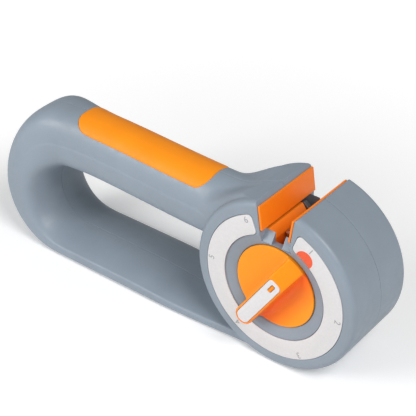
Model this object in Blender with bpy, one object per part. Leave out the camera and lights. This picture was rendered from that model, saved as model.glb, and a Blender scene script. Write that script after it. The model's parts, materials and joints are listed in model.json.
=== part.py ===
# Rotary knife sharpener: a round drum with a knife notch, a flat base and a loop handle.
# A selector knob turns a six-station turret inside the drum.
# Metres, +Z up. The dial side faces -Y and the drum end points to +X.
# The origin is the centre of the sole pad's underside.

import math

import bmesh
import bpy
import numpy as np

# Driving sizes of the housing
DRUM_RADIUS = 0.040
DRUM_HALF_WIDTH = 0.0197
DRUM_RIM_ROUND = 0.0026
LOOP_REACH = 0.1300
LOOP_REAR_RADIUS = 0.0309
LOOP_LOW_RADIUS = 0.0309
LOOP_TOP_HEIGHT = 0.0742
LOOP_INNER_REACH = 0.1225
LOOP_INNER_RADIUS = 0.0180
BASE_THICKNESS = 0.0094
BASE_HALF_WIDTH = 0.0199
BASE_TOE_HALF_WIDTH = 0.0170
BASE_TOE_RUN = 0.070
BASE_TOE_DROP = 0.0022
BASE_TOE_DROP_RUN = 0.045
HANDLE_THICKNESS = 0.0287
HANDLE_HALF_WIDTH = 0.0132
HANDLE_NARROWING_RUN = 0.021
HANDLE_DROP = 0.0032
HANDLE_DROP_RUN = 0.080
NECK_BEFORE_DRUM = 0.036
NECK_FLARE = 0.0042
NECK_FLARE_RUN = 0.020
PARTING_GAP = 0.0003
FIT_GAP = 0.0003
CUT_OVERRUN = 0.004

# Corner shapes of the loop's cross-section, as pure numbers: 2 is an ellipse, larger is squarer
BASE_UNDER_SHAPE_SHARE = 6.0
BASE_TOP_SHAPE_SHARE = 2.0
REAR_OUTER_SHAPE_SHARE = 4.35
REAR_INNER_SHAPE_SHARE = 3.0
HANDLE_TOP_SHAPE_SHARE = 2.15
HANDLE_UNDER_SHAPE_SHARE = 3.3
NARROWING_START_SHARE = 0.50

# Walls
DRUM_WALL = 0.0026
FACE_WALL = 0.0032
REAR_FACE_WALL = 0.0028
BASE_UNDER_WALL = 0.0034
BASE_TOP_WALL = 0.0022
BASE_SIDE_WALL = 0.0026
GRIP_WALL = 0.0042
CHEEK_WALL = 0.0026

# Sole pad and flat underside
SOLE_PROUD = 0.0003
SOLE_THICKNESS = 0.0012
SOLE_HALF_WIDTH = 0.0135
SOLE_END_MARGIN = 0.0015
SOLE_CORNER = 0.0060

# Knife notch
NOTCH_FLOOR_DROP = 0.0006
NOTCH_FLOOR_HALF_WIDTH = 0.0074
NOTCH_RIM_HALF_WIDTH = 0.0096
NOTCH_CHAMFER = 0.0028
SLOT_HALF_WIDTH = 0.0026
RAMP_DEPTH = 0.0029
LINER_THICKNESS = 0.0011
LINER_FOOT_LIFT = 0.0012
LINER_FACE_INSET = 0.0004

# Dial ring and the dished ring around the knob
DIAL_RIM_MARGIN = 0.0058
DIAL_WIDTH = 0.0091
DISH_WIDTH = 0.0057
DIAL_THICKNESS = 0.0010
DIAL_PROUD = 0.0001
DIAL_CORNER = 0.0022
DIAL_HALF_OPENING_DEG = 20.0
DISH_LIP_DEPTH = 0.0005
DISH_DEPTH = 0.0020

# Knob
KNOB_EDGE_SETBACK = 0.0013
KNOB_EDGE_THICKNESS = 0.0011
KNOB_EDGE_ROUND = 0.0003
KNOB_POCKET_DEPTH = 0.0027
BAR_HALF_WIDTH = 0.0042
BAR_HEIGHT = 0.0063
BAR_OVERHANG = 0.0037
BAR_INNER_REACH = 0.0116
BAR_UNDER_CLEARANCE = 0.0004
BAR_EDGE_ROUND = 0.0005
POINTER_DEG = 236.3
INLAY_RIM = 0.0009
INLAY_DEPTH = 0.0011
INLAY_THICKNESS = 0.0007
INLAY_SUNK = 0.0001
INLAY_INNER_CORNER = 0.0022
MARKER_LENGTH = 0.0040
MARKER_WIDTH = 0.0013
MARKER_FROM_INNER_END = 0.0045
KNOB_SHAFT_RADIUS = 0.0060
KNOB_HEX_LENGTH = 0.0036

# Turret
TURRET_RIM_MARGIN = 0.0146
TURRET_FRONT_GAP = 0.0003
FACE_PLATE_INNER_DEPTH = 0.0048
TURRET_LENGTH = 0.0246
TURRET_CHAMBER_GAP = 0.0008
TURRET_CHAMBER_WALL = 0.0022
GROOVE_HALF_WIDTH = 0.0063
GROOVE_DEPTH = 0.0049
POCKET_HALF_WIDTH = 0.0034
POCKET_FLOOR_SHARE = 0.54
TURRET_CAP_THICKNESS = 0.0025
CAP_SLOT_DEPTH = 0.0009
CAP_SLOT_HALF_WIDTH = 0.0012
STATION_COUNT = 6
PHOTO_STATION = 4

# Click wheel, spring and bearings
INDEX_RIM_MARGIN = 0.0104
INDEX_THICKNESS = 0.0028
INDEX_NOTCH_DEPTH = 0.0014
INDEX_NOTCH_HALF_WIDTH = 0.0023
SPRING_THICKNESS = 0.0005
SPRING_WIDTH = 0.0022
SPRING_END_MARGIN = 0.0008
SPRING_DROP = 0.0030
SPRING_FOOT = 0.0040
SPRING_BLOCK_WALL = 0.0022
AXLE_RADIUS = 0.0030
BORE_CLEARANCE = 0.00015
RUNNING_CLEARANCE = 0.00012
FRONT_BUSH_RADIUS = 0.0087
REAR_BUSH_RADIUS = 0.0052
THRUST_WASHER_RADIUS = 0.0050
THRUST_WASHER_THICKNESS = 0.0004
HUB_CAP_RADIUS = 0.0087
HUB_CAP_DEPTH = 0.0010
HUB_CAP_PROUD = 0.0002
AXLE_TAPPED_DEPTH = 0.0080

# Screws
SCREW_SHANK_RADIUS = 0.0013
SCREW_HEAD_RADIUS = 0.0028
SCREW_HEAD_THICKNESS = 0.0018
SCREW_LENGTH = 0.0200
SCREW_HEAD_SETBACK = 0.0030
BOSS_RADIUS = 0.0040
BOSS_PLACES_DEG = (40, 140, 220, 320)
KNOB_SCREW_RADIUS = 0.0015
KNOB_SCREW_HEAD_RADIUS = 0.0029
KNOB_SCREW_HEAD_THICKNESS = 0.0017
RECESS_SOCKET_RADIUS = 0.0012
RECESS_SOCKET_DEPTH = 0.0009

# Grip pad
PAD_THICKNESS = 0.0016
PAD_PROUD = 0.0002
PAD_FRONT_BEFORE_DRUM = 0.0430
PAD_LENGTH = 0.0760
PAD_HALF_WIDTH = 0.0104
PAD_CORNER = 0.0062

# Sharpening elements
PLATE_WIDTH = 0.0050
PLATE_THICKNESS = 0.0018
ROD_RADIUS = 0.00135
THIN_ROD_RADIUS = 0.0010
ELEMENT_PROUD = 0.0001
ELEMENT_PITCH = 0.0004

# Facet counts
DRUM_SEGMENTS = 80
BORE_SEGMENTS = 48
SMALL_SEGMENTS = 16
LOOP_AROUND = 28
HOLLOW_AROUND = 16
BASE_STEPS = 12
ARC_STEPS = 22
HANDLE_STEPS = 14
ARC_STEP_DEG = 7.5
CORNER_STEP_DEG = 22.5
SHARP_EDGE_DEG = 35

# Places worked out from the driving sizes
DRUM_X = (LOOP_REACH + LOOP_REAR_RADIUS - DRUM_RADIUS) / 2
DRUM_Z = DRUM_RADIUS
LOOP_X = DRUM_X - LOOP_REACH
LOOP_INNER_X = DRUM_X - LOOP_INNER_REACH
NECK_X = DRUM_X - NECK_BEFORE_DRUM
FRONT_Y = -DRUM_HALF_WIDTH
REAR_Y = DRUM_HALF_WIDTH
HANDLE_UNDER_Z = LOOP_TOP_HEIGHT - HANDLE_THICKNESS
LOOP_HOLE_Z = (BASE_THICKNESS + HANDLE_UNDER_Z) / 2
HANDLE_END_X = NECK_X + NECK_FLARE_RUN
FACE_PLATE_Y = FRONT_Y + FACE_PLATE_INNER_DEPTH
POCKET_Y = FRONT_Y + KNOB_POCKET_DEPTH
KNOB_EDGE_Y = FRONT_Y + KNOB_EDGE_SETBACK
KNOB_BACK_Y = KNOB_EDGE_Y + KNOB_EDGE_THICKNESS
BAR_TOP_Y = FRONT_Y - BAR_HEIGHT
TURRET_FRONT_Y = FACE_PLATE_Y + TURRET_FRONT_GAP
TURRET_REAR_Y = TURRET_FRONT_Y + TURRET_LENGTH
CAP_FRONT_Y = TURRET_REAR_Y + FIT_GAP
CAP_REAR_Y = CAP_FRONT_Y + TURRET_CAP_THICKNESS
INDEX_FRONT_Y = CAP_REAR_Y + FIT_GAP
INDEX_REAR_Y = INDEX_FRONT_Y + INDEX_THICKNESS
REAR_WALL_Y = REAR_Y - REAR_FACE_WALL
TURRET_RADIUS = DRUM_RADIUS - TURRET_RIM_MARGIN
GROOVE_FLOOR_RADIUS = TURRET_RADIUS - GROOVE_DEPTH
POCKET_FLOOR_RADIUS = POCKET_FLOOR_SHARE * GROOVE_FLOOR_RADIUS
INDEX_RADIUS = TURRET_RADIUS - INDEX_RIM_MARGIN
CHAMBER_RADIUS = TURRET_RADIUS + TURRET_CHAMBER_GAP
HOLLOW_INNER_RADIUS = CHAMBER_RADIUS + TURRET_CHAMBER_WALL
HOLLOW_OUTER_RADIUS = DRUM_RADIUS - DRUM_WALL
BOSS_ORBIT_RADIUS = (HOLLOW_INNER_RADIUS + HOLLOW_OUTER_RADIUS) / 2
DIAL_OUTER_RADIUS = DRUM_RADIUS - DIAL_RIM_MARGIN
DIAL_INNER_RADIUS = DIAL_OUTER_RADIUS - DIAL_WIDTH
KNOB_RADIUS = DIAL_INNER_RADIUS - DISH_WIDTH
BAR_REACH = KNOB_RADIUS + BAR_OVERHANG
NOTCH_FLOOR_RADIUS = TURRET_RADIUS - NOTCH_FLOOR_DROP
SLOT_FLOOR_RADIUS = GROOVE_FLOOR_RADIUS - FIT_GAP
CAP_SLOT_RADIUS = GROOVE_FLOOR_RADIUS - CAP_SLOT_DEPTH
ELEMENT_TOP_RADIUS = GROOVE_FLOOR_RADIUS + ELEMENT_PROUD
STATION_STEP_DEG = 360.0 / STATION_COUNT


def clear_scene():
    for item in list(bpy.data.objects):
        bpy.data.objects.remove(item, do_unlink=True)


def make_material(name, colour, roughness, metallic=0.0):
    material = bpy.data.materials.new(name)
    material.use_nodes = True
    shader = material.node_tree.nodes["Principled BSDF"]
    shader.inputs["Base Color"].default_value = (*colour, 1.0)
    shader.inputs["Roughness"].default_value = roughness
    shader.inputs["Metallic"].default_value = metallic
    return material


def mesh_object(name, points, faces):
    mesh = bpy.data.meshes.new(name)
    mesh.from_pydata([tuple(point) for point in points], [], faces)
    mesh.update()
    item = bpy.data.objects.new(name, mesh)
    bpy.context.scene.collection.objects.link(item)
    return item


def face_outwards(item):
    work = bmesh.new()
    work.from_mesh(item.data)
    bmesh.ops.recalc_face_normals(work, faces=work.faces)
    work.to_mesh(item.data)
    work.free()


def bake_modifiers(item):
    bpy.context.view_layer.update()
    graph = bpy.context.evaluated_depsgraph_get()
    baked = bpy.data.meshes.new_from_object(item.evaluated_get(graph))
    item.modifiers.clear()
    item.data = baked


def combine(target, tool, operation):
    """Joins, cuts or intersects target with tool, and removes the tool."""
    modifier = target.modifiers.new("combine", "BOOLEAN")
    modifier.operation = operation
    modifier.solver = "EXACT"
    modifier.object = tool
    bake_modifiers(target)
    bpy.data.objects.remove(tool, do_unlink=True)


def smooth_step(value):
    value = np.clip(value, 0.0, 1.0)
    return value * value * (3.0 - 2.0 * value)


def stacked_rings(name, rings):
    """Closed solid through a stack of rings, with a flat face over each end."""
    count, around = rings.shape[:2]
    faces = []
    for row in range(count - 1):
        for column in range(around):
            after = (column + 1) % around
            low = row * around
            high = low + around
            faces.append((low + column, low + after, high + after, high + column))
    faces.append(tuple(range(around)))
    faces.append(tuple((count - 1) * around + column for column in range(around)))
    item = mesh_object(name, rings.reshape(-1, 3), faces)
    face_outwards(item)
    return item


def extruded(name, outline, front_y, rear_y):
    """Solid from an outline of (x, z) points, drawn between two Y planes."""
    flat = np.asarray(outline)
    rings = []
    for depth in (front_y, rear_y):
        rings.append(np.stack([flat[:, 0], np.full(len(flat), depth), flat[:, 1]], axis=1))
    return stacked_rings(name, np.asarray(rings))


def turned(name, profile, segments=SMALL_SEGMENTS):
    """Solid turned about Y from (radius, y) points, both ends on the axis or closed on itself."""
    on_axis = profile[0][0] == 0
    ring_points = profile[1:-1] if on_axis else profile
    angles = np.arange(segments) * 2 * math.pi / segments
    points = []
    for radius, depth in ring_points:
        for angle in angles:
            points.append((radius * math.cos(angle), depth, radius * math.sin(angle)))
    faces = []
    row_count = len(ring_points)
    last_row = row_count - 1 if on_axis else row_count
    for row in range(last_row):
        low = row * segments
        high = ((row + 1) % row_count) * segments
        for column in range(segments):
            after = (column + 1) % segments
            faces.append((low + column, low + after, high + after, high + column))
    if on_axis:
        top = (row_count - 1) * segments
        faces.append(tuple(range(segments)))
        faces.append(tuple(top + column for column in range(segments)))
    item = mesh_object(name, points, faces)
    face_outwards(item)
    return item


def cylinder(name, radius, front_y, rear_y, segments=SMALL_SEGMENTS):
    return turned(name, [(0, front_y), (radius, front_y), (radius, rear_y), (0, rear_y)], segments)


def tube(name, inner, outer, front_y, rear_y, segments=SMALL_SEGMENTS):
    profile = [(inner, front_y), (outer, front_y), (outer, rear_y), (inner, rear_y)]
    return turned(name, profile, segments)


def block(name, low, high):
    outline = [(low[0], low[2]), (high[0], low[2]), (high[0], high[2]), (low[0], high[2])]
    return extruded(name, outline, low[1], high[1])


def arc(radius, from_deg, to_deg, centre=(0.0, 0.0), step_deg=ARC_STEP_DEG):
    """Points of an arc, both ends included, about one for each step."""
    count = max(2, round(abs(to_deg - from_deg) / step_deg) + 1)
    angles = np.radians(np.linspace(from_deg, to_deg, count))
    return [(centre[0] + radius * math.cos(a), centre[1] + radius * math.sin(a)) for a in angles]


def at_drum(item):
    """Moves a solid drawn about the drum's axis to where the drum is."""
    for vertex in item.data.vertices:
        vertex.co.x += DRUM_X
        vertex.co.z += DRUM_Z
    return item


def turned_points(points, degrees):
    cosine = math.cos(math.radians(degrees))
    sine = math.sin(math.radians(degrees))
    return [(x * cosine - z * sine, x * sine + z * cosine) for x, z in points]


# The loop: base, round rear end and handle, as one path of cross-sections
def loop_section(run):
    """Half width, outer and inner corner shapes, at a run along the loop from the base's rear end."""
    arc_length = math.pi * LOOP_REAR_RADIUS
    start = NARROWING_START_SHARE * arc_length
    narrowing = smooth_step((run - start) / (arc_length + HANDLE_NARROWING_RUN - start))
    to_rear = smooth_step(2 * run / arc_length)

    def blend(base, rear, handle):
        return base + (rear - base) * to_rear + (handle - rear) * narrowing

    half_width = blend(BASE_HALF_WIDTH, BASE_HALF_WIDTH, HANDLE_HALF_WIDTH)
    outer_shape = blend(BASE_UNDER_SHAPE_SHARE, REAR_OUTER_SHAPE_SHARE, HANDLE_TOP_SHAPE_SHARE)
    inner_shape = blend(BASE_TOP_SHAPE_SHARE, REAR_INNER_SHAPE_SHARE, HANDLE_UNDER_SHAPE_SHARE)
    return half_width, outer_shape, inner_shape


def handle_drop(x):
    """How far the handle has sloped down towards the drum."""
    return HANDLE_DROP * smooth_step((x - NECK_X) / HANDLE_DROP_RUN + 1)


def loop_stations(front_x, end_x):
    """Outer and inner edge points, half width and corner shapes along the loop."""
    turn = np.linspace(-math.pi / 2, -3 * math.pi / 2, ARC_STEPS, endpoint=False)
    cosine = np.cos(turn)
    sine = np.sin(turn)
    base_x = np.linspace(front_x, LOOP_X, BASE_STEPS, endpoint=False)
    base_inner_x = np.linspace(front_x, LOOP_INNER_X, BASE_STEPS, endpoint=False)
    toe_x = DRUM_X - DRUM_RADIUS
    toe_drop = BASE_TOE_DROP * smooth_step((base_inner_x - toe_x) / BASE_TOE_DROP_RUN + 1)
    base_outer = np.stack([base_x, np.zeros_like(base_x)], axis=1)
    base_inner = np.stack([base_inner_x, BASE_THICKNESS - toe_drop], axis=1)

    upper_radius = LOOP_TOP_HEIGHT - LOOP_LOW_RADIUS
    outer_z = LOOP_LOW_RADIUS + np.where(sine > 0, upper_radius, LOOP_LOW_RADIUS) * sine
    inner_z = LOOP_HOLE_Z + (HANDLE_UNDER_Z - LOOP_HOLE_Z) * sine
    arc_outer = np.stack([LOOP_X + LOOP_REAR_RADIUS * cosine, outer_z], axis=1)
    arc_inner = np.stack([LOOP_INNER_X + LOOP_INNER_RADIUS * cosine, inner_z], axis=1)

    handle_x = np.linspace(LOOP_X, end_x, HANDLE_STEPS)
    handle_inner_x = np.linspace(LOOP_INNER_X, end_x, HANDLE_STEPS)
    flare = NECK_FLARE * np.clip((handle_x - NECK_X) / NECK_FLARE_RUN, 0, None) ** 2
    handle_outer = np.stack([handle_x, LOOP_TOP_HEIGHT - handle_drop(handle_x) + flare], axis=1)
    handle_inner = np.stack([handle_inner_x, HANDLE_UNDER_Z - handle_drop(handle_inner_x)], axis=1)
    outer = np.concatenate([base_outer, arc_outer, handle_outer])
    inner = np.concatenate([base_inner, arc_inner, handle_inner])

    arc_length = math.pi * LOOP_REAR_RADIUS
    run = np.concatenate([base_x * 0, (-math.pi / 2 - turn) * LOOP_REAR_RADIUS,
                          arc_length + handle_x - LOOP_X])
    half_width, outer_shape, inner_shape = loop_section(run)
    toe = smooth_step((base_x - DRUM_X + BASE_TOE_RUN) / BASE_TOE_RUN)
    half_width[:BASE_STEPS] -= (BASE_HALF_WIDTH - BASE_TOE_HALF_WIDTH) * toe
    half_width[-HANDLE_STEPS:] += flare
    around_rear = run / arc_length
    return outer, inner, half_width, outer_shape, inner_shape, around_rear


def loop_rings(stations, outer_inset, inner_inset, side_inset, around=LOOP_AROUND):
    """Rounded cross-sections between the loop's outer and inner edges, set in by the walls."""
    outer, inner, half_width, outer_shape, inner_shape = stations[:5]
    across = outer - inner
    thickness = np.linalg.norm(across, axis=1, keepdims=True)
    direction = across / thickness
    outer = outer - direction * outer_inset[:, None]
    inner = inner + direction * inner_inset[:, None]
    middle = (outer + inner) / 2
    half_thickness = np.linalg.norm(outer - inner, axis=1) / 2
    half_width = half_width - side_inset
    angles = (np.arange(around) + 0.5) * 2 * math.pi / around
    cosine = np.cos(angles)[None, :]
    sine = np.sin(angles)[None, :]
    shape = np.where(sine > 0, outer_shape[:, None], inner_shape[:, None])
    side = half_width[:, None] * np.sign(cosine) * np.abs(cosine) ** (2 / shape)
    rise = half_thickness[:, None] * np.sign(sine) * np.abs(sine) ** (2 / shape)
    x = middle[:, 0:1] + direction[:, 0:1] * rise
    z = middle[:, 1:2] + direction[:, 1:2] * rise
    return np.stack([x, side, z], axis=2)


def loop_solid(name, inset=0.0):
    """Loop with its whole surface set in by one distance, or set out by a negative one."""
    stations = loop_stations(DRUM_X, HANDLE_END_X)
    insets = np.full(len(stations[2]), inset)
    return stacked_rings(name, loop_rings(stations, insets, insets, insets))


def loop_hollow():
    """Space inside the loop, with thin walls at the base and thick ones under the grip."""
    front_x = DRUM_X - DRUM_RADIUS - DRUM_WALL
    stations = loop_stations(front_x, DRUM_X - DRUM_RADIUS - DRUM_WALL)
    around_rear = np.clip(stations[5], 0, 1)
    shares = [0.0, 0.5, 1.0]
    rear_wall = (BASE_SIDE_WALL + GRIP_WALL) / 2
    outer_wall = np.interp(around_rear, shares, [BASE_UNDER_WALL, rear_wall, GRIP_WALL])
    inner_wall = np.interp(around_rear, shares, [BASE_TOP_WALL, rear_wall, GRIP_WALL])
    side_wall = np.interp(around_rear, shares, [BASE_SIDE_WALL, rear_wall, GRIP_WALL])
    rings = loop_rings(stations, outer_wall, inner_wall, side_wall, HOLLOW_AROUND)
    return stacked_rings("loop_hollow", np.concatenate([rings[:-1:2], rings[-1:]]))


# The drum and everything cut from it
def drum_solid():
    profile = [(0, FRONT_Y)]
    edge = DRUM_RADIUS - DRUM_RIM_ROUND
    profile += arc(DRUM_RIM_ROUND, 270, 360, (edge, FRONT_Y + DRUM_RIM_ROUND), CORNER_STEP_DEG)
    profile += arc(DRUM_RIM_ROUND, 0, 90, (edge, REAR_Y - DRUM_RIM_ROUND), CORNER_STEP_DEG)
    profile.append((0, REAR_Y))
    return at_drum(turned("drum_outside", profile, DRUM_SEGMENTS))


def cheek_half_width(height):
    """Half width of the notch between its gray cheeks, at a height over the drum's axis."""
    share = (height - NOTCH_FLOOR_RADIUS) / (DRUM_RADIUS - NOTCH_FLOOR_RADIUS)
    return NOTCH_FLOOR_HALF_WIDTH + (NOTCH_RIM_HALF_WIDTH - NOTCH_FLOOR_HALF_WIDTH) * share


def notch_cutter():
    chamfer_z = DRUM_RADIUS - NOTCH_CHAMFER
    top_z = DRUM_RADIUS + CUT_OVERRUN
    top_half = cheek_half_width(chamfer_z) + top_z - chamfer_z
    right = [(cheek_half_width(NOTCH_FLOOR_RADIUS), NOTCH_FLOOR_RADIUS),
             (cheek_half_width(chamfer_z), chamfer_z), (top_half, top_z)]
    left = [(-x, z) for x, z in reversed(right)]
    return at_drum(extruded("notch_cutter", right + left, FRONT_Y - CUT_OVERRUN, REAR_Y + CUT_OVERRUN))


def slot_cutter():
    """Narrow slot below the notch floor, for the knife's edge."""
    low = (DRUM_X - SLOT_HALF_WIDTH, FRONT_Y - CUT_OVERRUN, DRUM_Z + SLOT_FLOOR_RADIUS)
    high = (DRUM_X + SLOT_HALF_WIDTH, REAR_Y + CUT_OVERRUN, DRUM_Z + NOTCH_FLOOR_RADIUS + CUT_OVERRUN)
    return block("slot_cutter", low, high)


def ramp_cutter(side):
    """Sloping cut that leads the blade over the wall's lip; side is -1 at the front, 1 at the rear."""
    inner_y = -FACE_PLATE_Y if side < 0 else REAR_WALL_Y
    outer_y = REAR_Y + CUT_OVERRUN
    start_y = inner_y + RAMP_DEPTH
    half = cheek_half_width(NOTCH_FLOOR_RADIUS)
    outline = [(start_y, SLOT_FLOOR_RADIUS), (outer_y, SLOT_FLOOR_RADIUS),
               (outer_y, NOTCH_FLOOR_RADIUS + CUT_OVERRUN), (inner_y, NOTCH_FLOOR_RADIUS + CUT_OVERRUN),
               (inner_y, NOTCH_FLOOR_RADIUS)]
    rings = [[(x, side * y, z) for y, z in outline] for x in (-half, half)]
    return at_drum(stacked_rings("ramp_cutter", np.asarray(rings)))


def dial_outline(clearance):
    """Ring with a gap at the top and rounded ends, as (x, z) points about the drum's axis."""
    outer = DIAL_OUTER_RADIUS + clearance
    inner = DIAL_INNER_RADIUS - clearance
    corner = DIAL_CORNER
    points = []
    gap_deg = math.degrees(clearance / DIAL_OUTER_RADIUS)
    right_end = 90 - DIAL_HALF_OPENING_DEG + gap_deg
    left_end = 90 + DIAL_HALF_OPENING_DEG - gap_deg - 360
    outer_turn = math.degrees(math.asin(corner / (outer - corner)))
    inner_turn = math.degrees(math.asin(corner / (inner + corner)))

    def corner_arc(radius, angle, from_deg, to_deg):
        centre = (radius * math.cos(math.radians(angle)), radius * math.sin(math.radians(angle)))
        return arc(corner, from_deg, to_deg, centre, CORNER_STEP_DEG)

    right_outer = right_end - outer_turn
    right_inner = right_end - inner_turn
    left_outer = left_end + outer_turn
    left_inner = left_end + inner_turn
    points += arc(outer, left_outer, right_outer)
    points += corner_arc(outer - corner, right_outer, right_outer, right_end + 90)[1:]
    points += corner_arc(inner + corner, right_inner, right_end + 90, right_inner + 180)
    points += arc(inner, right_inner, left_inner)[1:]
    points += corner_arc(inner + corner, left_inner, left_inner + 180, left_end + 270)[1:]
    points += corner_arc(outer - corner, left_outer, left_end + 270, left_outer + 360)[:-1]
    return points


def dish_cutter():
    """Pocket for the knob, with a shallow cone up to the dial ring."""
    pocket_radius = KNOB_RADIUS + FIT_GAP
    lip_radius = DIAL_INNER_RADIUS - FIT_GAP
    profile = [(0, FRONT_Y - CUT_OVERRUN), (lip_radius, FRONT_Y - CUT_OVERRUN),
               (lip_radius, FRONT_Y + DISH_LIP_DEPTH), (pocket_radius, FRONT_Y + DISH_DEPTH),
               (pocket_radius, POCKET_Y), (0, POCKET_Y)]
    return at_drum(turned("dish_cutter", profile, DRUM_SEGMENTS))


def boss_places():
    """Screw centres as (x, z), and the Y of each screw head's underside."""
    places = []
    for degrees in BOSS_PLACES_DEG:
        x = DRUM_X + BOSS_ORBIT_RADIUS * math.cos(math.radians(degrees))
        z = DRUM_Z + BOSS_ORBIT_RADIUS * math.sin(math.radians(degrees))
        places.append((x, z, REAR_Y - SCREW_HEAD_SETBACK - SCREW_HEAD_THICKNESS))
    rear_x = (LOOP_X - LOOP_REAR_RADIUS + LOOP_INNER_X - LOOP_INNER_RADIUS) / 2
    rear_z = (LOOP_LOW_RADIUS + LOOP_HOLE_Z) / 2
    places.append((rear_x, rear_z, BASE_HALF_WIDTH - SCREW_HEAD_SETBACK - SCREW_HEAD_THICKNESS))
    grip_x = (LOOP_X + DRUM_X - DRUM_RADIUS) / 2
    grip_z = (LOOP_TOP_HEIGHT + HANDLE_UNDER_Z) / 2 - handle_drop(grip_x)
    places.append((grip_x, grip_z, HANDLE_HALF_WIDTH - SCREW_HEAD_SETBACK - SCREW_HEAD_THICKNESS))
    return places


def moved(item, x, z):
    for vertex in item.data.vertices:
        vertex.co.x += x
        vertex.co.z += z
    return item


def drum_hollow():
    """Space between the turret's chamber wall and the drum's wall, closed off beside the notch."""
    outer_half = cheek_half_width(HOLLOW_OUTER_RADIUS) + CHEEK_WALL
    inner_half = cheek_half_width(HOLLOW_INNER_RADIUS) + CHEEK_WALL
    outer_deg = math.degrees(math.asin(outer_half / HOLLOW_OUTER_RADIUS))
    inner_deg = math.degrees(math.asin(inner_half / HOLLOW_INNER_RADIUS))
    outline = arc(HOLLOW_OUTER_RADIUS, 90 + outer_deg, 450 - outer_deg)
    outline += arc(HOLLOW_INNER_RADIUS, 450 - inner_deg, 90 + inner_deg)
    return at_drum(extruded("drum_hollow", outline, FRONT_Y + FACE_WALL, REAR_WALL_Y))


def spring_line():
    """Middle line of the leaf spring about the drum's axis, from its free end to its foot."""
    tip_z = -(INDEX_RADIUS - INDEX_NOTCH_DEPTH) - FIT_GAP - SPRING_THICKNESS / 2
    shoulder_z = tip_z - INDEX_NOTCH_DEPTH - FIT_GAP
    rest_z = shoulder_z - SPRING_DROP
    half = INDEX_NOTCH_HALF_WIDTH
    foot_x = math.sqrt((CHAMBER_RADIUS - SPRING_END_MARGIN) ** 2 - rest_z ** 2)
    arm_x = foot_x - SPRING_FOOT
    return [(-arm_x, rest_z), (-half, shoulder_z), (0, tip_z), (half, shoulder_z),
            (arm_x, rest_z), (foot_x, rest_z)]


def chamber_hollow():
    """Room for the turret and its click wheel, with the spring's slotted block left standing."""
    chamber = cylinder("chamber", CHAMBER_RADIUS, FACE_PLATE_Y, REAR_WALL_Y, BORE_SEGMENTS)
    foot = spring_line()[-1]
    start_x = foot[0] - SPRING_FOOT + FIT_GAP
    slot_half = SPRING_THICKNESS / 2 + FIT_GAP
    spring_front = INDEX_FRONT_Y + FIT_GAP
    low = (start_x, INDEX_FRONT_Y, foot[1] - slot_half - SPRING_BLOCK_WALL)
    high = (CHAMBER_RADIUS + CUT_OVERRUN, REAR_Y, foot[1] + slot_half + SPRING_BLOCK_WALL)
    stand = block("spring_block", low, high)
    slot_low = (start_x - CUT_OVERRUN, spring_front - FIT_GAP - CUT_OVERRUN, foot[1] - slot_half)
    slot_high = (foot[0] + FIT_GAP, spring_front + SPRING_WIDTH + FIT_GAP, foot[1] + slot_half)
    combine(stand, block("spring_slot", slot_low, slot_high), "DIFFERENCE")
    combine(chamber, stand, "DIFFERENCE")
    return at_drum(chamber)


def rounded_rectangle(half_x, half_z, corner):
    points = []
    for sign_x, sign_z, start in ((1, 1, 0), (-1, 1, 90), (-1, -1, 180), (1, -1, 270)):
        centre = (sign_x * (half_x - corner), sign_z * (half_z - corner))
        points += arc(corner, start, start + 90, centre, CORNER_STEP_DEG)
    return points


def pad_outline_solid(name, clearance):
    """Upright block over the handle's upper half, with the grip pad's outline seen from above."""
    half_length = PAD_LENGTH / 2
    centre_x = DRUM_X - PAD_FRONT_BEFORE_DRUM - half_length
    outline = rounded_rectangle(half_length + clearance, PAD_HALF_WIDTH + clearance, PAD_CORNER + clearance)
    low_z = (LOOP_TOP_HEIGHT + HANDLE_UNDER_Z) / 2
    high_z = LOOP_TOP_HEIGHT + CUT_OVERRUN
    rings = [[(centre_x + x, y, z) for x, y in outline] for z in (low_z, high_z)]
    return stacked_rings(name, np.asarray(rings))


def pad_recess():
    recess = pad_outline_solid("pad_recess", FIT_GAP)
    combine(recess, loop_solid("pad_seat", PAD_THICKNESS - PAD_PROUD + FIT_GAP), "DIFFERENCE")
    return recess


def grip_pad():
    pad = pad_outline_solid("grip_pad", 0.0)
    combine(pad, loop_solid("pad_top", -PAD_PROUD), "INTERSECT")
    combine(pad, loop_solid("pad_underside", PAD_THICKNESS - PAD_PROUD), "DIFFERENCE")
    return pad


def sole_solid(name, clearance, low_z, high_z):
    half_length = DRUM_X - SOLE_END_MARGIN + clearance
    outline = rounded_rectangle(half_length, SOLE_HALF_WIDTH + clearance, SOLE_CORNER + clearance)
    rings = [[(x, y, z) for x, y in outline] for z in (low_z, high_z)]
    return stacked_rings(name, np.asarray(rings))


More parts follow.
